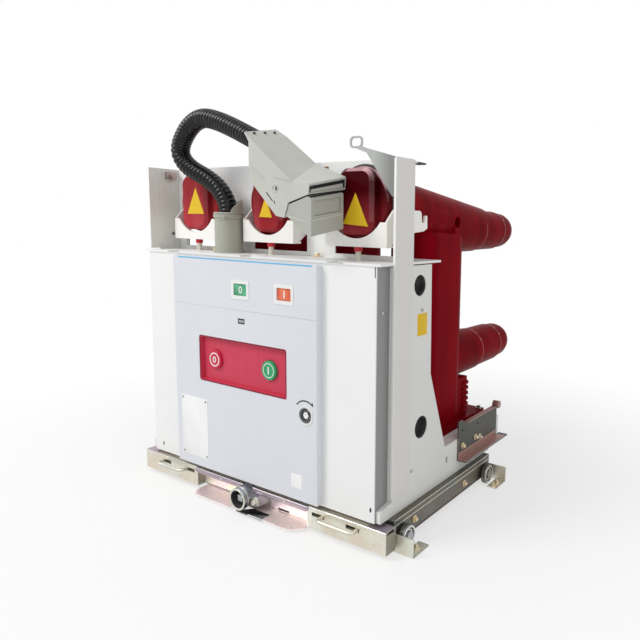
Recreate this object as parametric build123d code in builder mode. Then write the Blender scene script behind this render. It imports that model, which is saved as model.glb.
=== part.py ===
import os
from math import pi, radians, tan

from build123d import *

# Vacuum load switch-fuse truck. Millimetres, +Z up, floor at Z 0, front faces -Y,
# X 0 is the middle phase and Y 0 the front of the mechanism housing.

# phases and overall sizes
housing_half = 295.0
phase_pitch = housing_half - 85.0
phases = (-phase_pitch, 0.0, phase_pitch)
housing_depth = 146.0
housing_bottom = 54.0
housing_top = 480.0
sheet = 2.5
deck_top = 118.0
deck_rear = 440.0

# door on the housing front
door_left = -198.0
door_right = 181.0
door_proud = 13.0
door_bottom = 57.0
door_top = 477.0
control_left = -124.0
control_right = 110.0
control_bottom = 236.0
control_top = 326.0
control_depth = 8.0
button_z = 281.0
off_x = -84.0
on_x = 62.0
button_r = 18.0
button_proud = 5.0
button_gap = 0.5
window_w = 46.0
window_h = 35.0
window_z = 422.0
window_xs = (-5.0, 105.0)
pane_w = 34.0
pane_h = 22.0
counter_x = -3.5
counter_z = 364.0
charge_x = 154.0
charge_z = 216.0
charge_r = 16.0

# top plate, partition and uprights
top_plate_t = 4.0
plate_top = housing_top + top_plate_t
top_plate_half = housing_half + 8.0
top_plate_rear = housing_depth + 35.0
side_depth = 8.5
upright_x = housing_half + side_depth
upright_front = 33.0
upright_rear = 86.0
upright_bottom = housing_bottom + 27.0
upright_top = plate_top + 168.0
left_web_front = 11.0
flange_w = 26.0
partition_top = upright_top + 2.0
opening_half = 71.0
opening_straight = 575.0

# fuse barrels and poles
cap_z = 583.0
cap_front = 46.0
cap_ring_front = cap_front + 16.0
cap_back = cap_front + 28.0
cap_r = 60.0
gasket_back = cap_back + 6.0
gasket_r = cap_r + 1.5
gasket_lift = 3.0
ridge_half = cap_r - 22.0
ridge_tall = cap_r - 4.0
barrel_end = 480.0
barrel_slope = -5.6
arm_spacing = 275.0
arm_z_lower = 262.0
arm_z_upper = arm_z_lower + arm_spacing
column_half = 51.0
column_front = 196.0
column_rear = 370.0
rib_zs = (150.0, 250.0, 450.0)
arm_end = 630.0
arm_r = 49.0
arm_mouth_r = 25.0
mouth_depth = 40.0
contact_r = 22.0
contact_bore = 16.0
foot_rear = deck_rear + 12.0
block_top = deck_top + 102.0
block_rear = column_rear + 15.0
block_half = 46.0

# cradles under the fuse ends
cradle_half = cap_r + 6.0
cradle_bottom = plate_top + 23.0
cradle_lip = 42.0
cradle_front = 50.0
cradle_t = 4.0
pin_y = 59.0

# truck on wheels
beam_half = housing_half + 27.0
beam_front = -5.0
beam_rear = 22.0
beam_bottom = 8.0
beam_top = 48.0
bay_half = 150.0
bay_back = 12.0
bay_top = 40.0
screw_z = 30.0
screw_r = 9.0
screw_rear = 290.0
cup_r = 21.0
tray_front = -31.0
cup_front = -33.0
rail_out = housing_half + 21.0
rail_in = rail_out - 20.0
rail_bottom = 12.0
rail_front = 27.0
rail_rear = 385.0
wheel_r = 20.0
wheel_w = 12.0
wheel_in = rail_out + 2.0
axle_r = 5.0
foot_reach = 40.0
running_gap = 0.05
wheel_ys = (52.0, 360.0)
handle_r = 3.5
handle_z = 36.0
leg_outer = beam_half - 60.0
leg_inner = leg_outer - 77.0
handle_front = -21.0
leg_back = 8.0
handle_travel = 20.0


def facing(y):
    # plane seen from the front: local x is X, local y is Z
    return Plane(origin=(0, y, 0), x_dir=(1, 0, 0), z_dir=(0, -1, 0))


def beside(x):
    # plane seen from the right: local x is Y, local y is Z
    return Plane(origin=(x, 0, 0), x_dir=(0, 1, 0), z_dir=(1, 0, 0))


def level(z):
    return Plane.XY.offset(z)


# the origin lies on the floor under the middle of the truck
depth_middle = (cup_front + arm_end) / 2


def keep(builder, name):
    piece = builder.part.moved(Location((0, -depth_middle, 0)))
    piece.label = name
    export_step(piece, "parts/" + name + ".step")


os.makedirs("parts", exist_ok=True)

# mechanism housing: closed white box, its two wings show beside the door
with BuildPart() as housing:
    with Locations((0, housing_depth / 2, (housing_bottom + housing_top) / 2)):
        Box(2 * housing_half, housing_depth, housing_top - housing_bottom)
    fillet(housing.edges().filter_by(Axis.Z), 3)
    with BuildSketch(facing(0)):
        with Locations((28 - housing_half, housing_bottom + 17), (housing_half - 9, housing_bottom + 22)):
            SlotOverall(9, 4, rotation=90)
    extrude(amount=-3, mode=Mode.SUBTRACT)
    with BuildSketch(facing(0)):
        with Locations((housing_half - 4, housing_top - 9)):
            Rectangle(2, 18)
    extrude(amount=-6, mode=Mode.SUBTRACT)
keep(housing, "mechanism_housing")

# raised door with its cut-outs
with BuildPart() as door:
    with BuildSketch(facing(0)):
        with Locations(((door_left + door_right) / 2, (door_bottom + door_top) / 2)):
            RectangleRounded(door_right - door_left, door_top - door_bottom, 3)
    extrude(amount=door_proud)
    chamfer(door.faces().sort_by(Axis.Y)[0].edges(), 1.2)
    with BuildSketch(facing(-door_proud)):
        with Locations(((control_left + control_right) / 2, (control_bottom + control_top) / 2)):
            RectangleRounded(control_right - control_left, control_top - control_bottom, 4)
    extrude(amount=-(control_depth + 2), mode=Mode.SUBTRACT)
    with BuildSketch(facing(-door_proud)):
        for x in window_xs:
            with Locations((x, window_z)):
                RectangleRounded(window_w, window_h, 3)
        with Locations((counter_x, counter_z)):
            Rectangle(18, 10)
        with Locations((charge_x, charge_z)):
            Circle(charge_r)
    extrude(amount=-10, mode=Mode.SUBTRACT)
    with BuildSketch(facing(-door_proud)):
        with Locations(((door_left + door_right) / 2, 384)):
            Rectangle(door_right - door_left, 1)
    extrude(amount=-0.6, mode=Mode.SUBTRACT)
    with BuildSketch(facing(0)):
        with Locations((off_x, button_z), (on_x, button_z)):
            Circle(button_r + 1)
    extrude(amount=4, mode=Mode.SUBTRACT)
keep(door, "door_panel")

# crimson control recess with two holes for the push buttons
control_floor = -door_proud + control_depth
with BuildPart() as control:
    with BuildSketch(facing(control_floor + 2)):
        with Locations(((control_left + control_right) / 2, (control_bottom + control_top) / 2)):
            RectangleRounded(control_right - control_left, control_top - control_bottom, 4)
    extrude(amount=control_depth + 1)
    with BuildSketch(facing(-door_proud - 1)):
        with Locations(((control_left + control_right) / 2, (control_bottom + control_top) / 2)):
            RectangleRounded(control_right - control_left - 6, control_top - control_bottom - 6, 3)
    extrude(amount=-(control_depth + 1), taper=8, mode=Mode.SUBTRACT)
    with BuildSketch(facing(control_floor)):
        with Locations((off_x, button_z), (on_x, button_z)):
            Circle(button_r + button_gap)
    extrude(amount=-2, mode=Mode.SUBTRACT)
keep(control, "control_recess")

# push buttons, each a domed disc on a stem inside the door
button_back = control_floor + 1
for name, x in (("off_button", off_x), ("on_button", on_x)):
    with BuildPart() as button:
        with BuildSketch(facing(button_back)):
            with Locations((x, button_z)):
                Circle(button_r)
        extrude(amount=button_back - control_floor + button_proud)
        fillet(button.edges().group_by(Axis.Y)[0], 1.5)
    keep(button, name)

# two indicator windows: white frame and coloured pane
with BuildPart() as windows:
    for x in window_xs:
        with BuildSketch(facing(-3)):
            with Locations((x, window_z)):
                RectangleRounded(window_w, window_h, 3)
        extrude(amount=door_proud - 2)
        with BuildSketch(facing(-door_proud - 1)):
            with Locations((x, window_z)):
                RectangleRounded(pane_w, pane_h, 2)
        extrude(amount=-2.5, mode=Mode.SUBTRACT)
keep(windows, "indicator_windows")

with BuildPart() as counter:
    with BuildSketch(facing(-3)):
        with Locations((counter_x, counter_z)):
            Rectangle(18, 10)
    extrude(amount=door_proud - 3.5)
keep(counter, "counter_window")

# round recess for the charging crank, with its hexagon shaft
with BuildPart() as charge:
    with BuildSketch(facing(-3)):
        with Locations((charge_x, charge_z)):
            Circle(charge_r)
    extrude(amount=door_proud - 3)
    with BuildSketch(facing(-door_proud)):
        with Locations((charge_x, charge_z)):
            Circle(charge_r - 3)
    extrude(amount=-8, mode=Mode.SUBTRACT)
    with BuildSketch(facing(-5)):
        with Locations((charge_x, charge_z)):
            RegularPolygon(6, 6)
    extrude(amount=6)
keep(charge, "charging_socket")

# white top plate, notched where the striker pins stand
with BuildPart() as top_plate:
    with Locations((0, (top_plate_rear - 2) / 2, plate_top - top_plate_t / 2)):
        Box(2 * top_plate_half, top_plate_rear + 2, top_plate_t)
    with Locations(*[(x, 10, plate_top) for x in phases]):
        Box(34, 26, 6, mode=Mode.SUBTRACT)
keep(top_plate, "top_plate")

# white partition sheet behind the cradles, one tall opening a phase
with BuildPart() as partition:
    with BuildSketch(facing(upright_rear - sheet)):
        with Locations((0, (plate_top + partition_top) / 2)):
            Rectangle(2 * top_plate_half, partition_top - plate_top)
        for x in phases:
            with Locations((x, (plate_top + 8 + opening_straight) / 2)):
                Rectangle(2 * opening_half, opening_straight - plate_top - 8, mode=Mode.SUBTRACT)
            with Locations((x, opening_straight)):
                Circle(opening_half, mode=Mode.SUBTRACT)
        with Locations((phase_pitch - 96, partition_top - 11)):
            Rectangle(20, 9, mode=Mode.SUBTRACT)
    extrude(amount=sheet)
keep(partition, "partition_panel")


def upright(side, front):
    with BuildPart() as post:
        with BuildSketch(beside(side * upright_x)):
            with Locations(((upright_front + upright_rear) / 2, (upright_bottom + upright_top) / 2)):
                Rectangle(upright_rear - upright_front, upright_top - upright_bottom)
            with Locations(((front + upright_rear) / 2, (plate_top + 2 + upright_top) / 2)):
                Rectangle(upright_rear - front, upright_top - plate_top - 2)
        extrude(amount=side * sheet)
        with Locations((side * (upright_x - flange_w / 2), upright_rear - sheet / 2, (plate_top + upright_top) / 2)):
            Box(flange_w, sheet, upright_top - plate_top)
        with Locations((side * (upright_x - 9), upright_rear + 5, upright_top - 3)):
            Box(18, 12, 3)
    return post


right_post = upright(1, upright_front)
keep(right_post, "right_upright")
left_post = upright(-1, left_web_front)
keep(left_post, "left_upright")

# three-cornered plate with a lifting eye on the right upright
eye_x = upright_x - 79.5
eye_z = upright_top + 26.0
with BuildPart() as gusset:
    with BuildSketch(facing(upright_front + sheet)):
        with BuildLine():
            Polyline(
                (upright_x, upright_top),
                (eye_x + 20, eye_z - 10),
                (eye_x + 2, eye_z - 4),
                (eye_x, eye_z - 10),
                (eye_x + 22, eye_z - 18),
                (upright_x - 6, upright_top - 62),
                (upright_x, upright_top - 62),
                close=True,
            )
        make_face()
        with Locations((eye_x, eye_z)):
            RectangleRounded(26, 19, 7)
        with Locations((eye_x, eye_z)):
            RectangleRounded(20, 13, 5, mode=Mode.SUBTRACT)
    extrude(amount=sheet)
keep(gusset, "lifting_gusset")

# small latch at the top of the left upright
with BuildPart() as latch:
    with Locations((-upright_x + 4, 60, upright_top - 14)):
        Box(8, 22, 16)
    with Locations((-upright_x + 11, 60, upright_top - 14)):
        Cylinder(5, 6, rotation=(0, 90, 0))
keep(latch, "upright_latch")


waist_z = 279.0


def side_plate(side):
    # folded plate with a lip all round, open towards the housing
    with BuildPart() as plate:
        with BuildSketch(beside(side * housing_half)):
            with BuildLine():
                Polyline(
                    (4, housing_bottom),
                    (foot_rear - 47, housing_bottom),
                    (foot_rear, housing_bottom + 30),
                    (foot_rear, deck_top + 4),
                    (housing_depth + 66, deck_top + 4),
                    (housing_depth + 7, waist_z),
                    (housing_depth + 3, housing_top - 2),
                    (upright_front + 1, housing_top - 2),
                    (upright_front + 1, upright_bottom - 1),
                    (4, upright_bottom - 7),
                    close=True,
                )
            make_face()
        extrude(amount=side * side_depth)
        inner = plate.faces().sort_by(Axis.X)[0 if side > 0 else -1]
        offset(amount=-sheet, openings=inner)
        with BuildSketch(beside(side * upright_x)):
            with Locations((upright_rear + 26, housing_top - 37)):
                Circle(18.5)
            with Locations((upright_rear + 38, deck_top + 69)):
                Circle(20.5)
            with Locations((housing_depth + 74, deck_top - 25)):
                SlotOverall(14, 6, rotation=90)
        extrude(amount=-side * 2 * sheet, mode=Mode.SUBTRACT)
    return plate


right_plate = side_plate(1)
keep(right_plate, "right_side_plate")
left_plate = side_plate(-1)
keep(left_plate, "left_side_plate")

# rear deck the poles stand on
with BuildPart() as deck:
    with BuildSketch(beside(-housing_half)):
        with BuildLine():
            Polyline(
                (housing_depth, deck_top),
                (deck_rear, deck_top),
                (deck_rear, housing_bottom),
                (deck_rear - 20, housing_bottom),
                (deck_rear - 20, housing_bottom + 3),
                (deck_rear - 3, housing_bottom + 3),
                (deck_rear - 3, deck_top - 3),
                (housing_depth, deck_top - 3),
                close=True,
            )
        make_face()
    extrude(amount=2 * housing_half)
keep(deck, "rear_deck")


# an arm sleeve narrows in steps: distance from the arm's end, and how much smaller the radius is there
arm_steps = (
    (arm_end - column_rear + 60, 0),
    (172, 1),
    (166, 3),
    (70, 4),
    (64, 6),
    (28, 8),
    (14, 12),
    (5, 18),
)


def arm_profile(z):
    # half section of an arm sleeve, stepped, round-nosed and open at the end
    outside = [(arm_end - back, z + arm_r - less) for back, less in arm_steps]
    mouth = [(arm_end, z + arm_mouth_r), (arm_end - mouth_depth, z + arm_mouth_r), (arm_end - mouth_depth, z)]
    return [(outside[0][0], z)] + outside + mouth


def pole(x):
    with BuildPart() as casting:
        with BuildSketch(level(deck_top)):
            with Locations((x, (column_front + column_rear) / 2)):
                RectangleRounded(2 * column_half, column_rear - column_front, 46)
        extrude(amount=arm_z_upper - deck_top)
        fillet(casting.edges().group_by(Axis.Z)[-1], 20)
        for z in (arm_z_upper, arm_z_lower):
            with BuildSketch(beside(x)):
                with BuildLine():
                    Polyline(*arm_profile(z), close=True)
                make_face()
            revolve(axis=Axis((x, 0, z), (0, 1, 0)))
        # inclined fuse barrel
        with BuildSketch(facing(gasket_back)):
            with Locations((x, cap_z)):
                Circle(cap_r - 3)
        extrude(amount=-16)
        tilt = Plane(origin=(x, gasket_back + 7, cap_z), x_dir=(1, 0, 0), z_dir=(0, 1, 0))
        tilt = tilt.rotated((barrel_slope, 0, 0))
        with BuildSketch(tilt):
            Circle(cap_r - 6)
        with BuildSketch(tilt.offset(barrel_end - gasket_back)):
            Circle(cap_r - 15)
        loft()
        # foot, lower block with sheds and the ribs to the housing
        with Locations((x, (column_front + foot_rear) / 2, deck_top + 7)):
            Box(2 * column_half + 12, foot_rear - column_front, 14)
        with Locations((x, block_rear - 45, (deck_top + block_top) / 2)):
            Box(2 * block_half, 90, block_top - deck_top)
        with Locations(*[(x, block_rear, deck_top + 28 + 12 * i) for i in range(6)]):
            Cylinder(4.5, 2 * block_half + 3, rotation=(0, 90, 0))
        with Locations(*[(x, (housing_depth + column_front + 44) / 2, z) for z in rib_zs]):
            Box(70, column_front + 44 - housing_depth, 26)
        # cross hole through the barrel
        with Locations((x, column_rear - 50, arm_z_upper + 16)):
            Cylinder(12, 140, rotation=(0, 90, 0), mode=Mode.SUBTRACT)
    return casting


for name, x in zip(("left_pole", "middle_pole", "right_pole"), phases):
    keep(pole(x), name)

# dark gasket disc and red cap on each barrel
with BuildPart() as gaskets:
    with BuildSketch(facing(gasket_back)):
        with Locations(*[(x, cap_z + gasket_lift) for x in phases]):
            Circle(gasket_r)
    extrude(amount=gasket_back - cap_back)
keep(gaskets, "cap_gaskets")

with BuildPart() as caps:
    for x in phases:
        with BuildPart(mode=Mode.PRIVATE) as cap:
            with BuildSketch(facing(cap_back)):
                with Locations((x, cap_z)):
                    Circle(cap_r)
            extrude(amount=cap_back - cap_ring_front)
            fillet(cap.edges().group_by(Axis.Y)[0], 6)
            with BuildSketch(facing(cap_back - 2)):
                with Locations((x, cap_z)):
                    RectangleRounded(2 * ridge_half, 2 * ridge_tall, 22)
            extrude(amount=cap_back - 2 - cap_front)
            chamfer(cap.faces().sort_by(Axis.Y)[0].edges(), 6)
        add(cap.part)
keep(caps, "fuse_caps")

# white cradle under each fuse end: hollowed front, two cheeks with hooked ends.
# a cheek is drawn by its distance behind the cradle's front and its height over the cradle's bottom
cheek = (
    (0, 0),
    (20, 6),
    (40, 21),
    (113, 28),
    (125, 33),
    (124, 56),
    (118, 56),
    (115, 43),
    (107, 43),
    (105, 60),
    (100, 64),
    (22, 64),
    (0, cradle_lip),
)
with BuildPart() as cradles:
    for x in phases:
        with BuildSketch(facing(cradle_front)):
            with Locations((x, cradle_bottom + cradle_lip / 2)):
                Rectangle(2 * cradle_half, cradle_lip)
            with Locations((x, cap_z)):
                Circle(cap_r + 2, mode=Mode.SUBTRACT)
        extrude(amount=-cradle_t)
        with Locations((x, cradle_front + 10, cradle_bottom + 2)):
            Box(2 * cradle_half, 20, 4)
        for start in (x - cradle_half, x + cradle_half - cradle_t):
            with BuildSketch(beside(start)):
                with BuildLine():
                    Polyline(*[(cradle_front + back, cradle_bottom + up) for back, up in cheek], close=True)
                make_face()
            extrude(amount=cradle_t)
keep(cradles, "fuse_cradles")

# striker pins and their white guides on the top plate
with BuildPart() as striker_pins:
    with Locations(*[(x, pin_y, cradle_bottom - 4) for x in phases]):
        Cylinder(7, 8)
keep(striker_pins, "striker_pins")
with BuildPart() as striker_guides:
    with Locations(*[(x, pin_y, (plate_top + cradle_bottom - 8) / 2) for x in phases]):
        Cylinder(5, cradle_bottom - 8 - plate_top)
keep(striker_guides, "striker_guides")

# front beam: two end blocks joined above and behind an open bay
with BuildPart() as beam:
    with Locations((0, (beam_front + beam_rear) / 2, (beam_bottom + beam_top) / 2)):
        Box(2 * beam_half, beam_rear - beam_front, beam_top - beam_bottom)
    with Locations((0, (beam_front + bay_back) / 2 - 1, (beam_bottom + bay_top) / 2 - 1)):
        Box(2 * bay_half, bay_back - beam_front + 2, bay_top - beam_bottom + 2, mode=Mode.SUBTRACT)
    with BuildSketch(facing(beam_front)):
        for leg in (leg_inner, leg_outer):
            with Locations((leg - handle_travel / 2, handle_z), (-leg + handle_travel / 2, handle_z)):
                Rectangle(handle_travel + 2 * handle_r + 2, 2 * handle_r + 0.2)
    extrude(amount=-16, mode=Mode.SUBTRACT)
    with BuildSketch(facing(beam_front)):
        with Locations((0, screw_z)):
            Circle(screw_r + 0.1)
    extrude(amount=-(beam_rear - beam_front), mode=Mode.SUBTRACT)
    with BuildSketch(facing(beam_front)):
        with Locations((0, screw_z)):
            Circle(cup_r)
    extrude(amount=-(bay_back - beam_front), mode=Mode.SUBTRACT)
keep(beam, "front_beam")

# tray plate under the bay, corner cut off at the right and notched for the cup
with BuildPart() as tray:
    with BuildSketch(level(beam_bottom - 2)):
        with BuildLine():
            Polyline(
                (-124, tray_front),
                (-26, tray_front),
                (-26, tray_front + 22),
                (62, tray_front + 22),
                (62, tray_front),
                (128, tray_front),
                (148, tray_front + 20),
                (148, beam_rear - 2),
                (-138, beam_rear - 2),
                (-138, tray_front + 12),
                close=True,
            )
        make_face()
    extrude(amount=2)
keep(tray, "beam_tray")

# crank cup round the square end of the racking screw
with BuildPart() as cup:
    with BuildSketch(facing(cup_front)):
        with Locations((0, screw_z)):
            Circle(cup_r)
    extrude(amount=-(bay_back - cup_front))
    with BuildSketch(facing(cup_front)):
        with Locations((0, screw_z)):
            Circle(cup_r - 4)
    extrude(amount=-34, mode=Mode.SUBTRACT)
    with BuildSketch(facing(cup_front + 30)):
        with Locations((0, screw_z)):
            Circle(screw_r + 0.1)
    extrude(amount=-30, mode=Mode.SUBTRACT)
    with Locations((cup_r + 6, bay_back - 13, screw_z - 2)):
        Box(20, 26, 20)
keep(cup, "crank_cup")

# racking screw: a round bar, and in front of it the square end that takes the crank
drive_wide = 12.0
drive_long = 23.0
drive_gap = 0.3
with BuildPart() as screw:
    with BuildSketch(facing(screw_rear)):
        with Locations((0, screw_z)):
            Circle(screw_r)
    extrude(amount=screw_rear - cup_front - 30)
    with BuildSketch(facing(cup_front + 30 - drive_gap)):
        with Locations((0, screw_z)):
            Rectangle(drive_wide, drive_wide)
    extrude(amount=drive_long)
keep(screw, "racking_screw")


def handle(side):
    bend = 8.0
    with BuildPart() as bar:
        with BuildLine():
            FilletPolyline(
                (side * leg_inner, leg_back, handle_z),
                (side * leg_inner, handle_front, handle_z),
                (side * leg_outer, handle_front, handle_z),
                (side * leg_outer, leg_back, handle_z),
                radius=bend,
            )
        with BuildSketch(Plane(origin=(side * leg_inner, leg_back, handle_z), z_dir=(0, -1, 0))):
            Circle(handle_r)
        sweep()
    return bar


keep(handle(-1), "left_latch_handle")
keep(handle(1), "right_latch_handle")


# side rails: channel sections, open towards the middle
with BuildPart() as rails:
    for side in (-1, 1):
        with BuildSketch(facing(rail_rear)):
            with BuildLine():
                Polyline(
                    (side * rail_in, housing_bottom),
                    (side * rail_out, housing_bottom),
                    (side * rail_out, rail_bottom),
                    (side * rail_in, rail_bottom),
                    (side * rail_in, rail_bottom + 3),
                    (side * (rail_out - 3), rail_bottom + 3),
                    (side * (rail_out - 3), housing_bottom - 3),
                    (side * rail_in, housing_bottom - 3),
                    close=True,
                )
            make_face()
        extrude(amount=rail_rear - rail_front)
        with Locations(*[(side * rail_out, y, wheel_r) for y in wheel_ys]):
            Cylinder(axle_r, 20, rotation=(0, 90, 0), mode=Mode.SUBTRACT)
keep(rails, "side_rails")

# cross-members between the rails, the front one guides the screw
cross_half = rail_out - 3
cross_bottom = rail_bottom + 3
cross_top = housing_bottom - 3
cross_front = 48.0
with BuildPart() as crosses:
    with Locations((0, cross_front, (cross_bottom + cross_top) / 2), (0, wheel_ys[1], (cross_bottom + cross_top) / 2)):
        Box(2 * cross_half, 26, cross_top - cross_bottom)
    with Locations((0, cross_front, screw_z)):
        Cylinder(screw_r + 0.1, 40, rotation=(90, 0, 0), mode=Mode.SUBTRACT)
keep(crosses, "cross_members")


def wheel(side, y):
    # flanged steel wheel turning on its pin
    profile = (
        (axle_r + running_gap, 0),
        (11, 0),
        (12, 1.5),
        (wheel_r - 1, 1.5),
        (wheel_r, 2.5),
        (wheel_r, wheel_w - 2),
        (wheel_r - 1.5, wheel_w),
        (15, wheel_w),
        (13.5, wheel_w - 2.5),
        (axle_r + running_gap, wheel_w - 2.5),
    )
    with BuildPart() as roller:
        with BuildSketch(Plane(origin=(side * wheel_in, y, wheel_r), x_dir=(0, 1, 0), z_dir=(0, 0, -1))):
            with BuildLine():
                Polyline(*[(r, side * w) for r, w in profile], close=True)
            make_face()
        revolve(axis=Axis((0, y, wheel_r), (1, 0, 0)))
    return roller


for side, word in ((-1, "left"), (1, "right")):
    for y, place in zip(wheel_ys, ("front", "rear")):
        keep(wheel(side, y), word + "_" + place + "_wheel")

# wheel pins with round heads
with BuildPart() as pins:
    for side in (-1, 1):
        for y in wheel_ys:
            with BuildSketch(beside(side * (rail_out - 3))):
                with Locations((y, wheel_r)):
                    Circle(axle_r)
            extrude(amount=side * (wheel_in + wheel_w - rail_out + 3))
            with BuildSketch(beside(side * (wheel_in + wheel_w - 2.2))):
                with Locations((y, wheel_r)):
                    Circle(9)
            extrude(amount=side * 4)
keep(pins, "wheel_pins")

# guide feet beside the wheels
with BuildPart() as feet:
    for side in (-1, 1):
        for y, turn in ((rail_front - 1, 1), (rail_rear + 1, -1)):
            with Locations((side * (rail_out + foot_reach / 2), y, 17)):
                Box(foot_reach, 2, 32)
            with Locations((side * (rail_out + foot_reach - 10), y + turn * 23, 2.5)):
                Box(foot_reach / 2, 48, 3)
keep(feet, "guide_feet")


# brackets that work the shutters, with a roller at the rear end
bracket_front = deck_rear - 178.0
bracket_rear = deck_rear - 3.0
bracket_bottom = 79.0
bracket_top = 143.0
with BuildPart() as brackets:
    for side in (-1, 1):
        with BuildSketch(beside(side * upright_x)):
            with BuildLine():
                Polyline(
                    (bracket_front, bracket_bottom),
                    (bracket_rear, bracket_bottom),
                    (bracket_rear, bracket_top),
                    (bracket_front + 38, bracket_top + 2),
                    (bracket_front + 23, bracket_top + 7),
                    (bracket_front + 14, bracket_top + 15),
                    (bracket_front, bracket_top + 15),
                    close=True,
                )
            make_face()
        extrude(amount=side * 3)
        with Locations((side * (upright_x + 11), bracket_rear - 77, bracket_bottom - 1)):
            Box(22, bracket_rear - bracket_front + 21, 3)
        with Locations((side * (upright_x - 3), bracket_rear - 63, bracket_top + 1)):
            Box(12, bracket_rear - bracket_front - 31, 3)
        with Locations((side * (upright_x - 2), bracket_rear + 9, bracket_top + 5)):
            Cylinder(8, 14, rotation=(0, 90, 0))
keep(brackets, "shutter_brackets")

# contact fingers inside the six arm mouths
with BuildPart() as contacts:
    for x in phases:
        for z in (arm_z_lower, arm_z_upper):
            with BuildSketch(Plane(origin=(x, arm_end - mouth_depth, z), x_dir=(1, 0, 0), z_dir=(0, 1, 0))):
                Circle(contact_r)
                Circle(contact_bore, mode=Mode.SUBTRACT)
            extrude(amount=mouth_depth - 8)
keep(contacts, "arm_contacts")

# grey socket for the hose
socket_x = -100.0
socket_y = 44.0
socket_top = plate_top + 78.0
with BuildPart() as socket:
    with Locations((socket_x, socket_y, (plate_top + socket_top) / 2)):
        Cylinder(26.5, socket_top - plate_top)
    with Locations((socket_x, socket_y, socket_top - 7)):
        Cylinder(28.5, 6)
    with Locations((socket_x, socket_y, plate_top + 2)):
        Cylinder(28.5, 4)
keep(socket, "hose_socket")

# corrugated hose, straight runs joined by arcs
hose_r = 18.0
route = (
    (socket_x, socket_y, socket_top),
    (socket_x - 3, socket_y - 2, 609),
    (-212, 8, 662),
    (-156, 6, 735),
    (-80, 6, 736),
    (50, 6, 675),
)


def arc_radii(points):
    radii = []
    for before, here, after in zip(points, points[1:], points[2:]):
        a = Vector(*here) - Vector(*before)
        b = Vector(*after) - Vector(*here)
        half = a.get_angle(b) / 2
        radii.append(0.45 * min(a.length, b.length) / tan(radians(half)))
    return radii


radii = arc_radii(route)
print("hose bend radii", [round(r, 1) for r in radii])
with BuildPart() as hose:
    with BuildLine() as hose_line:
        FilletPolyline(*route, radius=radii)
    with BuildSketch(Plane(origin=route[0], z_dir=Vector(*route[1]) - Vector(*route[0]))):
        Circle(hose_r)
    sweep()
hose_length = hose_line.wire().length
hose_share = hose.part.volume / (pi * hose_r**2 * hose_length)
print("hose length", round(hose_length, 1), "volume share", round(hose_share, 4))
keep(hose, "plug_hose")

# heavy plug hood leaning on the caps: its back edge stands higher than its front edge
hood_front = -45.0
hood_back = cap_front
front_edge = (
    (47, 694),
    (60, 684),
    (156, 610),
    (193, 606),
    (191, 590),
    (147, 577),
    (138, 553),
    (120, 556),
    (58, 616),
    (58, 678),
)
back_edge = (
    (29, 712),
    (57, 697),
    (126, 648),
    (193, 624),
    (191, 603),
    (147, 592),
    (138, 568),
    (120, 571),
    (58, 640),
    (44, 698),
)
with BuildPart() as hood:
    for y, edge in ((hood_front, front_edge), (hood_back, back_edge)):
        with BuildSketch(facing(y)):
            with BuildLine():
                Polyline(*edge, close=True)
            make_face()
    loft(ruled=True)
keep(hood, "plug_hood")

# hinged cover below the hood, with a shallow panel in its right face
cover_right = 195.6
cover_front = hood_front + 3
cover_back = 36.0
cover_rise = 13.0
cover_edge = (
    (147.5, 574.6),
    (187, 587),
    (cover_right, 583),
    (cover_right, 524),
    (183, 528),
    (141, 557),
)
with BuildPart() as plug_cover:
    for y, rise in ((cover_front, 0), (cover_back, cover_rise)):
        with BuildSketch(facing(y)):
            with BuildLine():
                Polyline(*[(x, z + rise) for x, z in cover_edge], close=True)
            make_face()
    loft(ruled=True)
    with BuildSketch(beside(cover_right)):
        with BuildLine():
            Polyline((-35, 580), (30, 590), (30, 566), (-35, 556), close=True)
        make_face()
    extrude(amount=-2.5, mode=Mode.SUBTRACT)
keep(plug_cover, "plug_cover")
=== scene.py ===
import math

import bmesh
import bpy
from mathutils import Matrix, Vector


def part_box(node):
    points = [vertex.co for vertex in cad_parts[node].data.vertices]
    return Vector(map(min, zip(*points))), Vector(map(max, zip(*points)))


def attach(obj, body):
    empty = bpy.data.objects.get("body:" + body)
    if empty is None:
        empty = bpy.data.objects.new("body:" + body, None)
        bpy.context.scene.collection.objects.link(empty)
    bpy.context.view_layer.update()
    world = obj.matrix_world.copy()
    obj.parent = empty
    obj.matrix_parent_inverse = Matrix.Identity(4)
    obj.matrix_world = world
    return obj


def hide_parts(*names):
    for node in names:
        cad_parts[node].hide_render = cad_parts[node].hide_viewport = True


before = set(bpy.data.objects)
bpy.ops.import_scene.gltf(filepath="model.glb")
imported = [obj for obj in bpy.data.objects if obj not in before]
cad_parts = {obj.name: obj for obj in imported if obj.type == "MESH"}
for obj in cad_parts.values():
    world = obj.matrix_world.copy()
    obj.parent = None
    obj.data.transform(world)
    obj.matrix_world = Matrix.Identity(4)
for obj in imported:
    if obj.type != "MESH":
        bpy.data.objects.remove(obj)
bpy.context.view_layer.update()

mm = 0.001
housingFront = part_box("mechanism_housing")[0][1]  # every y below is measured from this plane


def at(x, y, z):
    # a point in mm from the truck's middle, the housing's front and the floor
    return Vector((x * mm, housingFront + y * mm, z * mm))


# the camera stands where the photographer stood

camera = {
    "spot": at(849, -744, 547),
    "azimuth": 31.53,
    "elevation": 7.24,
    "roll": 1.28,
    "lens": 33.33,
    "shiftX": -0.1719,
    "shiftY": -0.0312,
}


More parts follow.
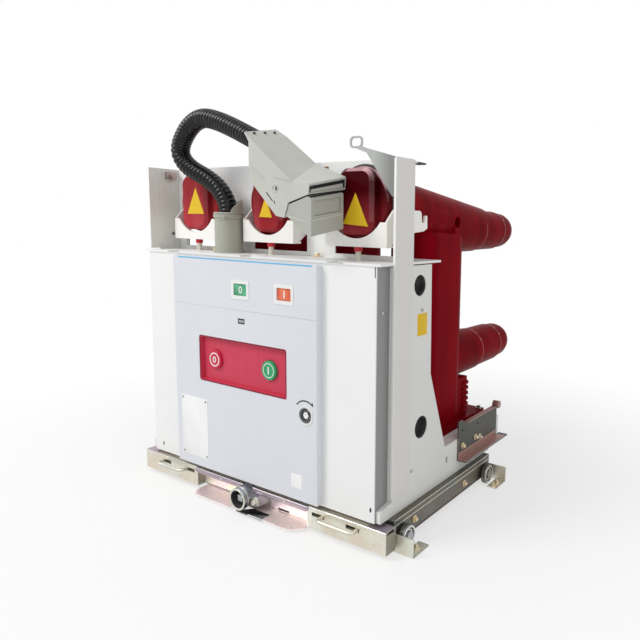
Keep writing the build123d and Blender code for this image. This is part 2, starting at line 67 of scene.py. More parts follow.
def placeCamera():
    az, el, roll = (math.radians(camera[k]) for k in ("azimuth", "elevation", "roll"))
    back = Vector((math.sin(az) * math.cos(el), -math.cos(az) * math.cos(el), math.sin(el)))
    level = Vector((math.cos(az), math.sin(az), 0))
    upright = level.cross(-back)
    right = level * math.cos(roll) + upright * math.sin(roll)
    up = upright * math.cos(roll) - level * math.sin(roll)
    data = bpy.data.cameras.new("photoCamera")
    data.lens = camera["lens"]
    data.shift_x = camera["shiftX"]
    data.shift_y = camera["shiftY"]
    shot = bpy.data.objects.new("photoCamera", data)
    bpy.context.scene.collection.objects.link(shot)
    turn = Matrix((right, up, back)).transposed().to_4x4()
    shot.matrix_world = Matrix.Translation(camera["spot"]) @ turn
    bpy.context.scene.camera = shot


placeCamera()
print("camera placed")


class Flow:
    # one output socket, so that shader maths reads as maths
    def __init__(self, finish, socket):
        self.finish = finish
        self.socket = socket

    def sum(self, operation, *terms):
        return self.finish.add("ShaderNodeMath", {"operation": operation}, terms)

    def __add__(self, other):
        return self.sum("ADD", self, other)

    def __sub__(self, other):
        return self.sum("SUBTRACT", self, other)

    def __rsub__(self, other):
        return self.sum("SUBTRACT", other, self)

    def __mul__(self, other):
        return self.sum("MULTIPLY", self, other)

    def __truediv__(self, other):
        return self.sum("DIVIDE", self, other)

    def __gt__(self, other):
        return self.sum("GREATER_THAN", self, other)

    def __lt__(self, other):
        return self.sum("LESS_THAN", self, other)

    __radd__ = __add__
    __rmul__ = __mul__

    def span(self, low, high, start=0.0, end=1.0):
        # start at low, end at high, and held outside them
        return self.finish.add("ShaderNodeMapRange", {"clamp": True}, [self, low, high, start, end])


class Finish:
    # one material on the object
    def __init__(self, name):
        self.material = bpy.data.materials.new(name)
        self.material.use_nodes = True
        self.tree = self.material.node_tree
        self.tree.nodes.clear()
        self.shader = self.tree.nodes.new("ShaderNodeBsdfPrincipled")
        out = self.tree.nodes.new("ShaderNodeOutputMaterial")
        self.tree.links.new(self.shader.outputs[0], out.inputs[0])

    def feed(self, socket, value):
        if isinstance(value, Flow):
            self.tree.links.new(value.socket, socket)
        elif isinstance(value, tuple) and len(value) == 3 and socket.type == "RGBA":
            socket.default_value = (*value, 1.0)
        else:
            socket.default_value = value

    def add(self, kind, settings=None, values=(), out=0):
        node = self.tree.nodes.new(kind)
        for key, value in (settings or {}).items():
            setattr(node, key, value)
        pairs = values.items() if isinstance(values, dict) else enumerate(values)
        for key, value in pairs:
            self.feed(node.inputs[key], value)
        return Flow(self, node.outputs[out])

    def spot(self, stretch=(1, 1, 1)):
        # where on the object, in metres
        here = self.add("ShaderNodeTexCoord", out="Object")
        return self.add("ShaderNodeVectorMath", {"operation": "MULTIPLY"}, [here, stretch])

    def axis(self, letter):
        return self.add("ShaderNodeSeparateXYZ", None, [self.spot()], out=letter)

    def grain(self, scale, detail=3.0, stretch=(1, 1, 1), twist=0.0):
        values = {"Vector": self.spot(stretch), "Scale": scale, "Detail": detail, "Distortion": twist}
        return self.add("ShaderNodeTexNoise", None, values)

    def cells(self, scale, stretch=(1, 1, 1)):
        return self.add("ShaderNodeTexVoronoi", None, {"Vector": self.spot(stretch), "Scale": scale})

    def blend(self, share, first, second, kind="MIX"):
        settings = {"data_type": "RGBA", "blend_type": kind}
        return self.add("ShaderNodeMix", settings, {0: share, 6: first, 7: second}, out=2)

    def edge(self, radius):
        # 1 on sharp edges, 0 on flats
        soft = self.add("ShaderNodeBevel", {"samples": 4}, {"Radius": radius})
        hard = self.add("ShaderNodeNewGeometry", out="Normal")
        along = self.add("ShaderNodeVectorMath", {"operation": "DOT_PRODUCT"}, [soft, hard], out="Value")
        return (1 - along).span(0.02, 0.2)

    def facing(self, direction, low, high):
        # 0 to 1 as a face turns towards a direction
        normal = self.add("ShaderNodeNewGeometry", out="Normal")
        pair = [normal, direction]
        along = self.add("ShaderNodeVectorMath", {"operation": "DOT_PRODUCT"}, pair, out="Value")
        return along.span(low, high)

    def shadowed(self, tone, colour, shadow):
        # faces that look one way lie in the shade, deeper from one end to the other
        side = self.facing(shadow["towards"], 0.5, 0.9)
        depth = self.axis(shadow["along"]).span(*shadow["between"], *shadow["depth"])
        return self.blend(side * depth, tone, shade(colour, 0.12))

    def surface(self, colour, rough, bump=None, reach=0.0002, **more):
        self.feed(self.shader.inputs["Base Color"], colour)
        self.feed(self.shader.inputs["Roughness"], rough)
        for key, value in more.items():
            self.feed(self.shader.inputs[key.replace("_", " ")], value)
        if bump is not None:
            relief = self.add("ShaderNodeBump", None, {"Strength": 1.0, "Distance": reach, "Height": bump})
            self.feed(self.shader.inputs["Normal"], relief)
        return self.material


def shade(colour, share):
    return tuple(c * share for c in colour)


def powderCoat(name, colour, rough=0.42, grime=0.1, shadow=None):
    # sprayed and baked paint: fine orange peel, faint clouding, a trace of handling low down and on edges
    f = Finish(name)
    peel = f.grain(900, 2)
    cloud = f.grain(7, 4).span(0.35, 0.7)
    rub = f.grain(60, 5, (1, 1, 0.25)).span(0.6, 0.8)
    low = f.axis("Z").span(0.03, 0.2, 1.0, 0.0)
    wearAndGlint = f.edge(0.001) * f.grain(240, 3).span(0.5, 0.66)
    dirt = (rub * 0.3 + low * 0.6) * f.grain(26, 5).span(0.3, 0.75) * grime
    tone = f.blend(cloud * 0.5, colour, shade(colour, 0.965))
    tone = f.blend(dirt, tone, (0.4, 0.37, 0.33))
    tone = f.blend(wearAndGlint * 0.25, tone, (0.5, 0.49, 0.47))
    if shadow:
        tone = f.shadowed(tone, colour, shadow)
    return f.surface(tone, rough + cloud * 0.06 + dirt * 0.3, peel * 0.5 + wearAndGlint * -0.4, 0.00005,
                     Coat_Weight=0.1, Coat_Roughness=0.25)


def castEpoxy(name, colour, deep, gloss=0.012, rough=0.3):
    # cast resin: upright streaks of deeper and brighter red painted in as reflection streaks, slow waves from
    # the mould, a few scuffs, and edges painted lighter as highlights
    f = Finish(name)
    wave = f.grain(16, 1)
    pit = f.cells(420).span(0.0, 0.12)
    scuff = f.grain(70, 6, (1, 0.18, 1)).span(0.66, 0.76)
    sheenStreak = f.grain(24, 3, (1, 1, 0.06)).span(0.35, 0.65)
    depth = f.grain(7, 3).span(0.3, 0.7)
    wearAndGlint = f.edge(0.0022)
    # painted reflection: the upright streaks stand in for streaks of reflected light
    tone = f.blend(sheenStreak * 0.55 + depth * 0.35, colour, deep)
    tone = f.blend(scuff * 0.08, tone, (0.45, 0.1, 0.09))
    # painted highlight: lighter red along the edges
    tone = f.blend(wearAndGlint * 0.3, tone, tuple(min(1.0, c * 1.5 + 0.01) for c in colour))
    rough = rough + scuff * 0.3 + depth * 0.06
    return f.surface(tone, rough, wave + pit * 0.01, 0.0012, Specular_IOR_Level=gloss)


def capResin(name, colour, deep):
    # moulded cap: smooth, with painted highlights on the bevels that look up to the right and along its
    # edges, and a painted rosy reflection with pink streaks low down and on the left
    f = Finish(name)
    wave = f.grain(22, 1)
    # painted reflection: rosier low down and on the left, as if the room showed in the cap
    paintedReflection = f.axis("Z").span(0.535, 0.6, 1.0, 0.0) * 0.45 + f.axis("X").span(-0.2, 0.16, 0.6, 0.0)
    sheenStreak = f.grain(34, 3, (1, 1, 0.12)).span(0.4, 0.62)
    # painted highlight: pale pink on the bevels that look up to the right
    bevel = f.facing((0.5, -0.6, 0.62), 0.76, 0.95) * f.grain(22, 2).span(0.3, 0.55)
    wearAndGlint = f.edge(0.0025) * f.grain(30, 2).span(0.4, 0.7)
    tone = f.blend(paintedReflection, deep, colour)
    tone = f.blend(paintedReflection * sheenStreak * 0.35, tone, (0.5, 0.12, 0.14))
    # painted glint: lighter along the edges
    tone = f.blend(wearAndGlint * 0.4, tone, (0.6, 0.2, 0.23))
    tone = f.blend(bevel, tone, (0.88, 0.52, 0.56))
    return f.surface(tone, 0.14 + sheenStreak * 0.05, wave, 0.001, Specular_IOR_Level=0.05)


def zincPlate(name, colour, tint, rough=0.3, glow=(0.5, 0.52, 0.42), shadow=None):
    # passivated zinc: drifting yellow and pink tint, drawing lines along the sheet, dull spots
    f = Finish(name)
    drift = f.grain(9, 3, twist=1.2)
    second = f.grain(16, 2, twist=0.6)
    lines = f.grain(260, 4, (0.05, 1, 1))
    spots = f.cells(170).span(0.05, 0.3)
    wearAndGlint = f.edge(0.0012)
    tone = f.blend(drift.span(0.42, 0.6), colour, tint)
    tone = f.blend(second.span(0.5, 0.68) * 0.6, tone, glow)
    tone = f.blend(spots * 0.8 + 0.2, shade(colour, 0.72), tone)
    tone = f.blend(wearAndGlint * 0.6, tone, (0.86, 0.86, 0.84))
    if shadow:
        tone = f.shadowed(tone, colour, shadow)
    return f.surface(tone, rough + lines * 0.14 + drift * 0.1, lines, 0.00005, Metallic=0.85)


def plainSteel(name, colour, rough=0.28):
    # turned steel: fine rings and oily smears
    f = Finish(name)
    turn = f.grain(700, 3, (1, 0.1, 1))
    smear = f.grain(40, 4).span(0.4, 0.7)
    wearAndGlint = f.edge(0.0008)
    tone = f.blend(smear * 0.6, colour, shade(colour, 0.6))
    tone = f.blend(wearAndGlint * 0.5, tone, tuple(min(1.0, c * 1.3 + 0.05) for c in colour))
    return f.surface(tone, rough + smear * 0.2, turn, 0.00004, Metallic=1.0)


def mouldedPlastic(name, colour, rough=0.45, stipple=1400, mottle=0.08, gloss=0.4):
    # injection moulding: leathery stipple, slight fading, brighter rubbed edges
    f = Finish(name)
    skin = f.grain(stipple, 2)
    fade = f.grain(12, 4).span(0.3, 0.7)
    speck = f.cells(600).span(0.0, 0.16, 1.0, 0.0)
    wearAndGlint = f.edge(0.0015)
    tone = f.blend(fade, colour, shade(colour, 1 - mottle))
    tone = f.blend(speck * 0.1, tone, shade(colour, 0.6))
    tone = f.blend(wearAndGlint * 0.35, tone, tuple(min(1.0, c * 1.25 + 0.04) for c in colour))
    return f.surface(tone, rough + fade * 0.1, skin, 0.00008, Specular_IOR_Level=gloss)


def enamel(name, colour, rough=0.32, gloss=0.3):
    # smooth coloured film with a soft sheen and hairline scratches
    f = Finish(name)
    hair = f.grain(300, 4, (1, 1, 0.04)).span(0.6, 0.7)
    cloud = f.grain(16, 3).span(0.35, 0.7)
    tone = f.blend(cloud * 0.5, colour, shade(colour, 0.9))
    tone = f.blend(hair * 0.08, tone, (0.9, 0.8, 0.8))
    return f.surface(tone, rough + hair * 0.2, f.grain(800, 2), 0.00003, Specular_IOR_Level=gloss)


def rubber(name, colour, rough=0.6):
    f = Finish(name)
    dust = f.grain(45, 5).span(0.5, 0.75) * 0.2 + f.facing((0, 0, 1), 0.5, 0.95) * 0.1
    tone = f.blend(dust, colour, (0.2, 0.19, 0.18))
    return f.surface(tone, rough + dust * 0.3, f.grain(1100, 3), 0.00008, Specular_IOR_Level=0.3)


def glowPane(name, colour, deep):
    # coloured pane behind glass, lighter at its middle
    f = Finish(name)
    middle = f.grain(55, 2).span(0.3, 0.7)
    tone = f.blend(middle, colour, deep)
    return f.surface(tone, 0.16 + middle * 0.05, f.grain(300, 1), 0.00002, Specular_IOR_Level=0.4)


housingShade = {
    "towards": (1, 0, 0),
    "along": "Y",
    "between": (at(0, 16, 0).y, at(0, 90, 0).y),
    "depth": (0.78, 1.0),
}
gussetShade = {
    "towards": (0, -1, 0),
    "along": "X",
    "between": (0.262, 0.294),
    "depth": (0.0, 0.56),
}
beamShade = {
    "towards": (1, 0, 0),
    "along": "Z",
    "between": (0.01, 0.05),
    "depth": (0.66, 0.6),
}

whitePaint = powderCoat("whitePaint", (0.87, 0.875, 0.86))
housingPaint = powderCoat("housingPaint", (0.87, 0.875, 0.86), shadow=housingShade)
doorPaint = powderCoat("doorPaint", (0.71, 0.725, 0.765), grime=0.06)
# painted highlight: a lighter copy of the upright paint for the folded edges
foldHighlight = powderCoat("foldHighlight", (0.9, 0.9, 0.885), 0.36, 0.05)
greyPaint = powderCoat("greyPaint", (0.75, 0.735, 0.7))
gussetPaint = powderCoat("gussetPaint", (0.45, 0.46, 0.44), shadow=gussetShade)
webPaint = powderCoat("webPaint", (0.78, 0.79, 0.73))
palePaint = powderCoat("palePaint", (0.77, 0.77, 0.74))
sheetPaint = powderCoat("sheetPaint", (0.97, 0.97, 0.955), grime=0.04)
crimson = enamel("crimson", (0.6, 0.04, 0.085), 0.4)
# painted shade for the recess's edge
crimsonShade = enamel("crimsonShade", (0.2, 0.008, 0.03))
redEpoxy = castEpoxy("redEpoxy", (0.27, 0.002, 0.008), (0.13, 0.001, 0.004))
capEpoxy = capResin("capEpoxy", (0.46, 0.03, 0.038), (0.055, 0.0008, 0.003))
ringLine = enamel("ringLine", (0.55, 0.2, 0.16), 0.4)
gasketRubber = rubber("gasketRubber", (0.11, 0.095, 0.09))
cradleWhite = mouldedPlastic("cradleWhite", (0.98, 0.96, 0.91), 0.35, mottle=0.03)
pinRed = mouldedPlastic("pinRed", (0.6, 0.02, 0.03), 0.3)
pinWhite = mouldedPlastic("pinWhite", (0.8, 0.74, 0.64), 0.35)
zinc = zincPlate("zinc", (0.14, 0.15, 0.135), (0.17, 0.15, 0.12), glow=(0.2, 0.21, 0.185))
zincPale = zincPlate("zincPale", (0.66, 0.66, 0.62), (0.66, 0.62, 0.52), 0.32)
zincYellow = zincPlate("zincYellow", (0.78, 0.79, 0.7), (0.74, 0.66, 0.55), 0.3, (0.7, 0.73, 0.62), beamShade)
zincPink = zincPlate("zincPink", (0.99, 0.88, 0.85), (0.97, 0.82, 0.88), 0.38, (1.0, 0.95, 0.84))
zincPurple = zincPlate("zincPurple", (0.38, 0.32, 0.38), (0.46, 0.38, 0.42), 0.3, (0.44, 0.41, 0.38))
zincCream = zincPlate("zincCream", (0.95, 0.9, 0.74), (0.92, 0.84, 0.8), 0.42, (0.96, 0.92, 0.78))
zincDark = zincPlate("zincDark", (0.082, 0.081, 0.072), (0.11, 0.085, 0.074), 0.34, (0.085, 0.095, 0.08))
latchZinc = zincPlate("latchZinc", (0.5, 0.42, 0.39), (0.4, 0.32, 0.3), 0.36, (0.46, 0.42, 0.36))
zincRust = zincPlate("zincRust", (0.42, 0.25, 0.23), (0.4, 0.23, 0.2), 0.4, (0.34, 0.24, 0.18))
gold = zincPlate("gold", (0.74, 0.6, 0.32), (0.72, 0.52, 0.36), 0.24)
steel = plainSteel("steel", (0.44, 0.46, 0.48))
brightSteel = plainSteel("brightSteel", (0.78, 0.79, 0.79), 0.22)
silver = plainSteel("silver", (0.74, 0.73, 0.7), 0.35)
darkSteel = plainSteel("darkSteel", (0.07, 0.07, 0.075), 0.36)
greyPlastic = mouldedPlastic("greyPlastic", (0.56, 0.57, 0.515), 0.5)
coverPlastic = mouldedPlastic("coverPlastic", (0.45, 0.455, 0.405), 0.5)
socketPlastic = mouldedPlastic("socketPlastic", (0.45, 0.45, 0.38), 0.5)
hoseBlack = enamel("hoseBlack", (0.004, 0.004, 0.005), 0.17, 0.28)
buttonRed = enamel("buttonRed", (0.58, 0.02, 0.055), 0.25)
buttonGreen = enamel("buttonGreen", (0.03, 0.34, 0.13), 0.25)
frameWhite = mouldedPlastic("frameWhite", (0.86, 0.86, 0.84), 0.25)
paneGreen = glowPane("paneGreen", (0.09, 0.45, 0.24), (0.04, 0.3, 0.14))
paneRed = glowPane("paneRed", (0.8, 0.2, 0.08), (0.62, 0.08, 0.03))
blackPlastic = mouldedPlastic("blackPlastic", (0.02, 0.02, 0.022), 0.4)
pitBlack = rubber("pitBlack", (0.008, 0.008, 0.008), 0.8)
linerGrey = rubber("linerGrey", (0.045, 0.045, 0.045), 0.6)
boreGrey = rubber("boreGrey", (0.2, 0.2, 0.21), 0.5)
markWhite = enamel("markWhite", (0.88, 0.88, 0.86), 0.4)
markPink = enamel("markPink", (0.86, 0.55, 0.56), 0.4)
signYellow = enamel("signYellow", (0.8, 0.52, 0.015), 0.35)
stripeBlue = enamel("stripeBlue", (0.16, 0.5, 0.78), 0.35)
plateWhite = enamel("plateWhite", (0.88, 0.88, 0.87), 0.35)
inkBlack = enamel("inkBlack", (0.02, 0.02, 0.02), 0.4)
corkBrown = mouldedPlastic("corkBrown", (0.5, 0.27, 0.09), 0.6)

nodeFinish = {
    "mechanism_housing": housingPaint,
    "door_panel": doorPaint,
    "control_recess": crimson,
    "off_button": buttonRed,
    "on_button": buttonGreen,
    "indicator_windows": frameWhite,
    "counter_window": blackPlastic,
    "charging_socket": steel,
    "top_plate": whitePaint,
    "partition_panel": sheetPaint,
    "right_upright": greyPaint,
    "left_upright": webPaint,
    "lifting_gusset": gussetPaint,
    "upright_latch": latchZinc,
    "right_side_plate": palePaint,
    "left_side_plate": palePaint,
    "rear_deck": whitePaint,
    "left_pole": redEpoxy,
    "middle_pole": redEpoxy,
    "right_pole": redEpoxy,
    "cap_gaskets": gasketRubber,
    "fuse_caps": capEpoxy,
    "fuse_cradles": cradleWhite,
    "striker_pins": pinRed,
    "striker_guides": pinWhite,
    "front_beam": zincYellow,
    "beam_tray": zincPink,
    "crank_cup": steel,
    "racking_screw": steel,
    "left_latch_handle": zincPale,
    "right_latch_handle": zincPale,
    "side_rails": zinc,
    "cross_members": zinc,
    "left_front_wheel": zinc,
    "left_rear_wheel": zinc,
    "right_front_wheel": zinc,
    "right_rear_wheel": zinc,
    "wheel_pins": steel,
    "guide_feet": zincYellow,
    "shutter_brackets": zincDark,
    "arm_contacts": silver,
    "hose_socket": socketPlastic,
    "plug_hood": greyPlastic,
    "plug_cover": coverPlastic,
}
for name, material in nodeFinish.items():
    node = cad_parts[name]
    node.data.materials.clear()
    node.data.materials.append(material)
print("finishes set")


class Form:
    # a mesh in the making, drawn in mm in the local plane of each placing
    def __init__(self, name):
        self.name = name
        self.bm = bmesh.new()

    def lathe(self, profile, place, steps=24):
        # profile of (radius, height) turned about local z
        rings = []
        for radius, height in profile:
            if radius == 0:
                rings.append([self.bm.verts.new(place @ Vector((0, 0, height)))])
                continue
            turns = [2 * math.pi * i / steps for i in range(steps)]
            spots = [Vector((radius * math.cos(t), radius * math.sin(t), height)) for t in turns]
            rings.append([self.bm.verts.new(place @ spot) for spot in spots])
        for low, high in zip(rings, rings[1:]):
            for i in range(steps):
                quad = [low[i % len(low)], low[(i + 1) % len(low)]]
                quad += [high[(i + 1) % len(high)], high[i % len(high)]]
                self.bm.faces.new(list(dict.fromkeys(quad)))

    def plate(self, outline, place, thick, lip=0.0):
        # flat piece with its top edge broken by lip
        count = len(outline)
        middle = sum((Vector(p) for p in outline), Vector((0, 0))) / count
        rings = [(0.0, 0.0), (thick - lip, 0.0)]
        if lip:
            rings.append((thick, lip))
        layers = []
        for height, inset in rings:
            layer = []
            for p in outline:
                flat = Vector(p)
                out = flat - middle
                flat -= Vector([math.copysign(min(inset, abs(side)), side) for side in out])
                layer.append(self.bm.verts.new(place @ Vector((flat.x, flat.y, height))))
            layers.append(layer)
        for low, high in zip(layers, layers[1:]):
            for i in range(count):
                self.bm.faces.new([low[i], low[(i + 1) % count], high[(i + 1) % count], high[i]])
        self.bm.faces.new(layers[-1])
        self.bm.faces.new(list(reversed(layers[0])))

    def done(self, material, body, soften=0.0, smooth=40):
        bmesh.ops.recalc_face_normals(self.bm, faces=self.bm.faces)
        mesh = bpy.data.meshes.new(self.name)
        self.bm.to_mesh(mesh)
        self.bm.free()
        piece = bpy.data.objects.new(self.name, mesh)
        bpy.context.scene.collection.objects.link(piece)
        mesh.materials.append(material)
        if soften:
            bevel = piece.modifiers.new("softEdge", "BEVEL")
            bevel.width = soften * mm
            bevel.segments = 2
            bevel.limit_method = "ANGLE"
            bevel.angle_limit = math.radians(35)
        if smooth:
            mesh.shade_smooth()
            sharp = math.radians(smooth)
            tool = bmesh.new()
            tool.from_mesh(mesh)
            for edge in tool.edges:
                edge.smooth = len(edge.link_faces) == 2 and edge.calc_face_angle(0) < sharp
            tool.to_mesh(mesh)
            tool.free()
        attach(piece, body)
        return piece


def placing(columns, x, y, z):
    turn = Matrix(columns).transposed().to_4x4()
    return Matrix.Translation(at(x, y, z)) @ turn @ Matrix.Scale(mm, 4)


def onFront(x, y, z):  # local x to the right, local y up, local z to the viewer
    return placing(((1, 0, 0), (0, 0, 1), (0, -1, 0)), x, y, z)


def onRight(x, y, z):  # local x to the rear, local y up, local z to the right
    return placing(((0, 1, 0), (0, 0, 1), (1, 0, 0)), x, y, z)


def onLeft(x, y, z):  # local x to the front, local y up, local z to the left
    return placing(((0, -1, 0), (0, 0, 1), (-1, 0, 0)), x, y, z)


def onTop(x, y, z):
    return placing(((1, 0, 0), (0, 1, 0), (0, 0, 1)), x, y, z)


def onBack(x, y, z):  # local z to the rear
    return placing(((-1, 0, 0), (0, 0, 1), (0, 1, 0)), x, y, z)


def standing(x, y, z, normal):
    # local z along a given direction
    turn = Vector(normal).to_track_quat("Z", "Y").to_matrix().to_4x4()
    return Matrix.Translation(at(x, y, z)) @ turn @ Matrix.Scale(mm, 4)


def oblong(wide, high, corner=0.0, steps=4):
    # rounded rectangle about its middle
    if corner == 0:
        return [(-wide / 2, -high / 2), (wide / 2, -high / 2), (wide / 2, high / 2), (-wide / 2, high / 2)]
    points = []
    for quarter, (sx, sy) in enumerate(((1, 1), (-1, 1), (-1, -1), (1, -1))):
        for i in range(steps + 1):
            a = math.pi / 2 * (quarter + i / steps)
            x = sx * (wide / 2 - corner) + corner * math.cos(a)
            y = sy * (high / 2 - corner) + corner * math.sin(a)
            points.append((x, y))
    return points


def strip(start, end, wide):
    # outline of a straight band from one point to another
    along = Vector(end) - Vector(start)
    side = Vector((-along.y, along.x)).normalized() * wide / 2
    return [Vector(start) - side, Vector(end) - side, Vector(end) + side, Vector(start) + side]


def hexBolt(form, place, size=8.0, spare=0.0):
    # washer, spring washer and hexagon head, size across flats; spare is thread standing over the head
    form.lathe([(size * 0.92, 0), (size * 0.92, 1.0), (size * 0.86, 1.3), (0, 1.3)], place, 24)
    form.lathe([(size * 0.68, 1.3), (size * 0.68, 2.4), (0, 2.4)], place, 20)
    top = 2.4 + size * 0.5
    form.lathe([(size * 0.577, 2.4), (size * 0.577, top - 0.8), (size * 0.5, top), (0, top)], place, 6)
    if spare:
        end = top + spare
        form.lathe([(size * 0.3, top), (size * 0.3, end - 0.6), (size * 0.22, end), (0, end)], place, 16)


def panScrew(form, place, radius=4.0):
    # low domed head with a socket
    profile = [(radius, 0), (radius, 0.8), (radius * 0.85, 1.7), (radius * 0.5, 2.1)]
    form.lathe(profile + [(radius * 0.38, 2.1), (radius * 0.34, 0.9), (0, 0.9)], place, 20)


def rivet(form, place, radius=2.0):
    dome = [(1, 0), (0.9, 0.3), (0.5, 0.5), (0, 0.55)]
    form.lathe([(radius * out, radius * up) for out, up in dome], place, 14)


def ring(form, place, outer, inner, high, steps=40):
    edge = min(0.3, (outer - inner) / 4)
    profile = [(outer, 0), (outer, high - edge), (outer - edge, high)]
    profile += [(inner + edge, high), (inner, high - edge), (inner, 0)]
    form.lathe(profile, place, steps)


plug = {
    "front": -45.0,
    "relief": 1.3,  # how far the moulded lines stand out of the hood's front
    "ridges": (((58.6, 636.6), (94.5, 617.0)), ((112.2, 620.7), (156.2, 610.1))),
    "slots": (((98.5, 594.3), (113.0, 579.7)), ((116.6, 580.4), (118.0, 575.4))),
    "oval": (119.1, 600.2),
    "hollow": (2.2, -0.4),  # its middle from the oval's
    "topScrews": (-24, 2, 26),
    "hoodRight": 193.0,
    "coverRight": 195.6,
    "coverFront": -42.0,
    "sideBand": ((-41, 548.5), (35, 562.0)),
    "frontBand": ((143.6, 556.5), (193.4, 544.8)),
    "lipShadow": ((-42, 593), (42, 606), (42, 619.5), (-42, 602.5)),
    "lipSlope": ((-41.5, 593.4), (38, 605.7), (36, 612.5), (-39, 597.8)),
    "sideSeam": ((-40, 585.4), (34, 598.4)),
    "frontSeam": ((149, 577.6), (188, 589.6)),
    "panel": ((-35, 580), (30, 590), (30, 566), (-35, 556)),
}


def plugHood():
    # the CAD hood with its front set back, so that the moulded lines on it end in the same plane
    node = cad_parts["plug_hood"]
    hood = bpy.data.objects.new("plugHood", node.data.copy())
    bpy.context.scene.collection.objects.link(hood)
    hood.matrix_world = node.matrix_world.copy()
    toWorld = hood.matrix_world
    front = at(0, plug["front"], 0).y
    for vertex in hood.data.vertices:
        spot = toWorld @ vertex.co
        if spot.y < front + 0.1 * mm:
            spot.y += plug["relief"] * mm
            vertex.co = toWorld.inverted() @ spot
    weld = hood.modifiers.new("weld", "WELD")
    weld.merge_threshold = 0.01 * mm
    bevel = hood.modifiers.new("softEdge", "BEVEL")
    bevel.width = 2.2 * mm
    bevel.segments = 3
    bevel.limit_method = "ANGLE"
    bevel.angle_limit = math.radians(12)
    hood.data.shade_smooth()
    flat = hood.modifiers.new("evenLight", "WEIGHTED_NORMAL")
    flat.keep_sharp = False
    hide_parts("plug_hood")
    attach(hood, "truck")


def plugMarks():
    back = plug["front"] + plug["relief"]
    face = onFront(0, back, 0)
    ridges = Form("plugRidges")
    for start, end in plug["ridges"]:
        ridges.plate(strip(start, end, 1.6), face, 1.2, 0.5)
    x, z = plug["oval"]
    ring(ridges, onFront(x, back, z), 6.4, 4.9, 1.2, 28)
    # painted shade: the moulded slots and the hollow by the oval drawn as black inlays
    hollows = Form("plugSlots")
    for start, end in plug["slots"]:
        hollows.plate(strip(start, end, 1.6), face, 0.3)
    right, up = plug["hollow"]
    hollows.plate(oblong(3.2, 7.2, 1.5), onFront(x + right, back, z + up), 0.3)
    screws = Form("plugScrews")
    for y in plug["topScrews"]:
        share = (y - plug["front"]) / 91  # of the way to the hood's rear edge
        panScrew(screws, standing(52 - 7 * share, y, 691 + 14 * share, (0.55, -0.12, 0.83)), 2.6)
    return [
        ridges.done(greyPlastic, "truck"),
        hollows.done(pitBlack, "truck", smooth=0),
        screws.done(darkSteel, "truck"),
    ]


def coverMarks():
    # moulded band round the cover, a painted shadow under the hood's lip over a slope, dark seams, shadow
    # line round the panel
    right, front = plug["coverRight"], plug["coverFront"]
    band = Form("coverBand")
    band.plate(strip(*plug["sideBand"], 2.2), onRight(right - 0.4, 0, 0), 0.9, 0.4)
    band.plate(strip(*plug["frontBand"], 2.0), onFront(0, front + 0.3, 0), 0.9, 0.4)
    gap = Form("coverLipShadowAndSeams")
    # painted shadow: a black plate on the hood's right end for the dark hollow under its lip
    gap.plate(plug["lipShadow"], onRight(plug["hoodRight"] - 0.6, 0, 0), 0.9)
    gap.plate(strip(*plug["sideSeam"], 3.4), onRight(right - 4.5, 0, 0), 1.2)
    gap.plate(strip(*plug["frontSeam"], 2.4), onFront(0, front - 0.4, 0), 0.5)
    slope = Form("coverSlope")
    slope.plate(plug["lipSlope"], onRight(right - 3.1, 0, 0), 0.9)
    frameLine = Form("coverFrame")
    corners = plug["panel"]
    for start, end in zip(corners, corners[1:] + corners[:1]):
        frameLine.plate(strip(start, end, 0.9), onRight(right - 2.6, 0, 0), 0.4)
    band.done(greyPlastic, "truck")
    gap.done(pitBlack, "truck", smooth=0)
    slope.done(coverPlastic, "truck", smooth=0)
    frameLine.done(linerGrey, "truck", smooth=0)


hose = {
    "route": ((-100, 44, 562), (-103, 42, 609), (-212, 8, 662), (-156, 6, 735), (-80, 6, 736), (50, 6, 675)),
    "radius": 18.0,
    "length": 0.452,  # metres
    "groove": 1.7,
    "pitch": 7.6,
    "ringSteps": 28,
}


def hosePath():
    line = bpy.data.curves.new("hoseLine", "CURVE")
    line.dimensions = "3D"
    line.resolution_u = 60
    spline = line.splines.new("NURBS")
    spline.points.add(len(hose["route"]) - 1)
    for point, place in zip(spline.points, hose["route"]):
        point.co = (*at(*place), 1)
    spline.order_u = 3
    spline.use_endpoint_u = True
    holder = bpy.data.objects.new("hoseLine", line)
    mesh = bpy.data.meshes.new_from_object(holder)
    path = [v.co.copy() for v in mesh.vertices]
    bpy.data.objects.remove(holder)
    bpy.data.curves.remove(line)
    bpy.data.meshes.remove(mesh)
    return path


def alongPath(path, gap):
    # even steps along the path
    lengths = [0.0]
    for a, b in zip(path, path[1:]):
        lengths.append(lengths[-1] + (b - a).length)
    count = max(2, round(lengths[-1] / gap))
    places, seat = [], 0
    for i in range(count + 1):
        want = lengths[-1] * i / count
        while seat < len(path) - 2 and lengths[seat + 1] < want:
            seat += 1
        share = (want - lengths[seat]) / (lengths[seat + 1] - lengths[seat])
        places.append(path[seat].lerp(path[seat + 1], min(1.0, max(0.0, share))))
    return places


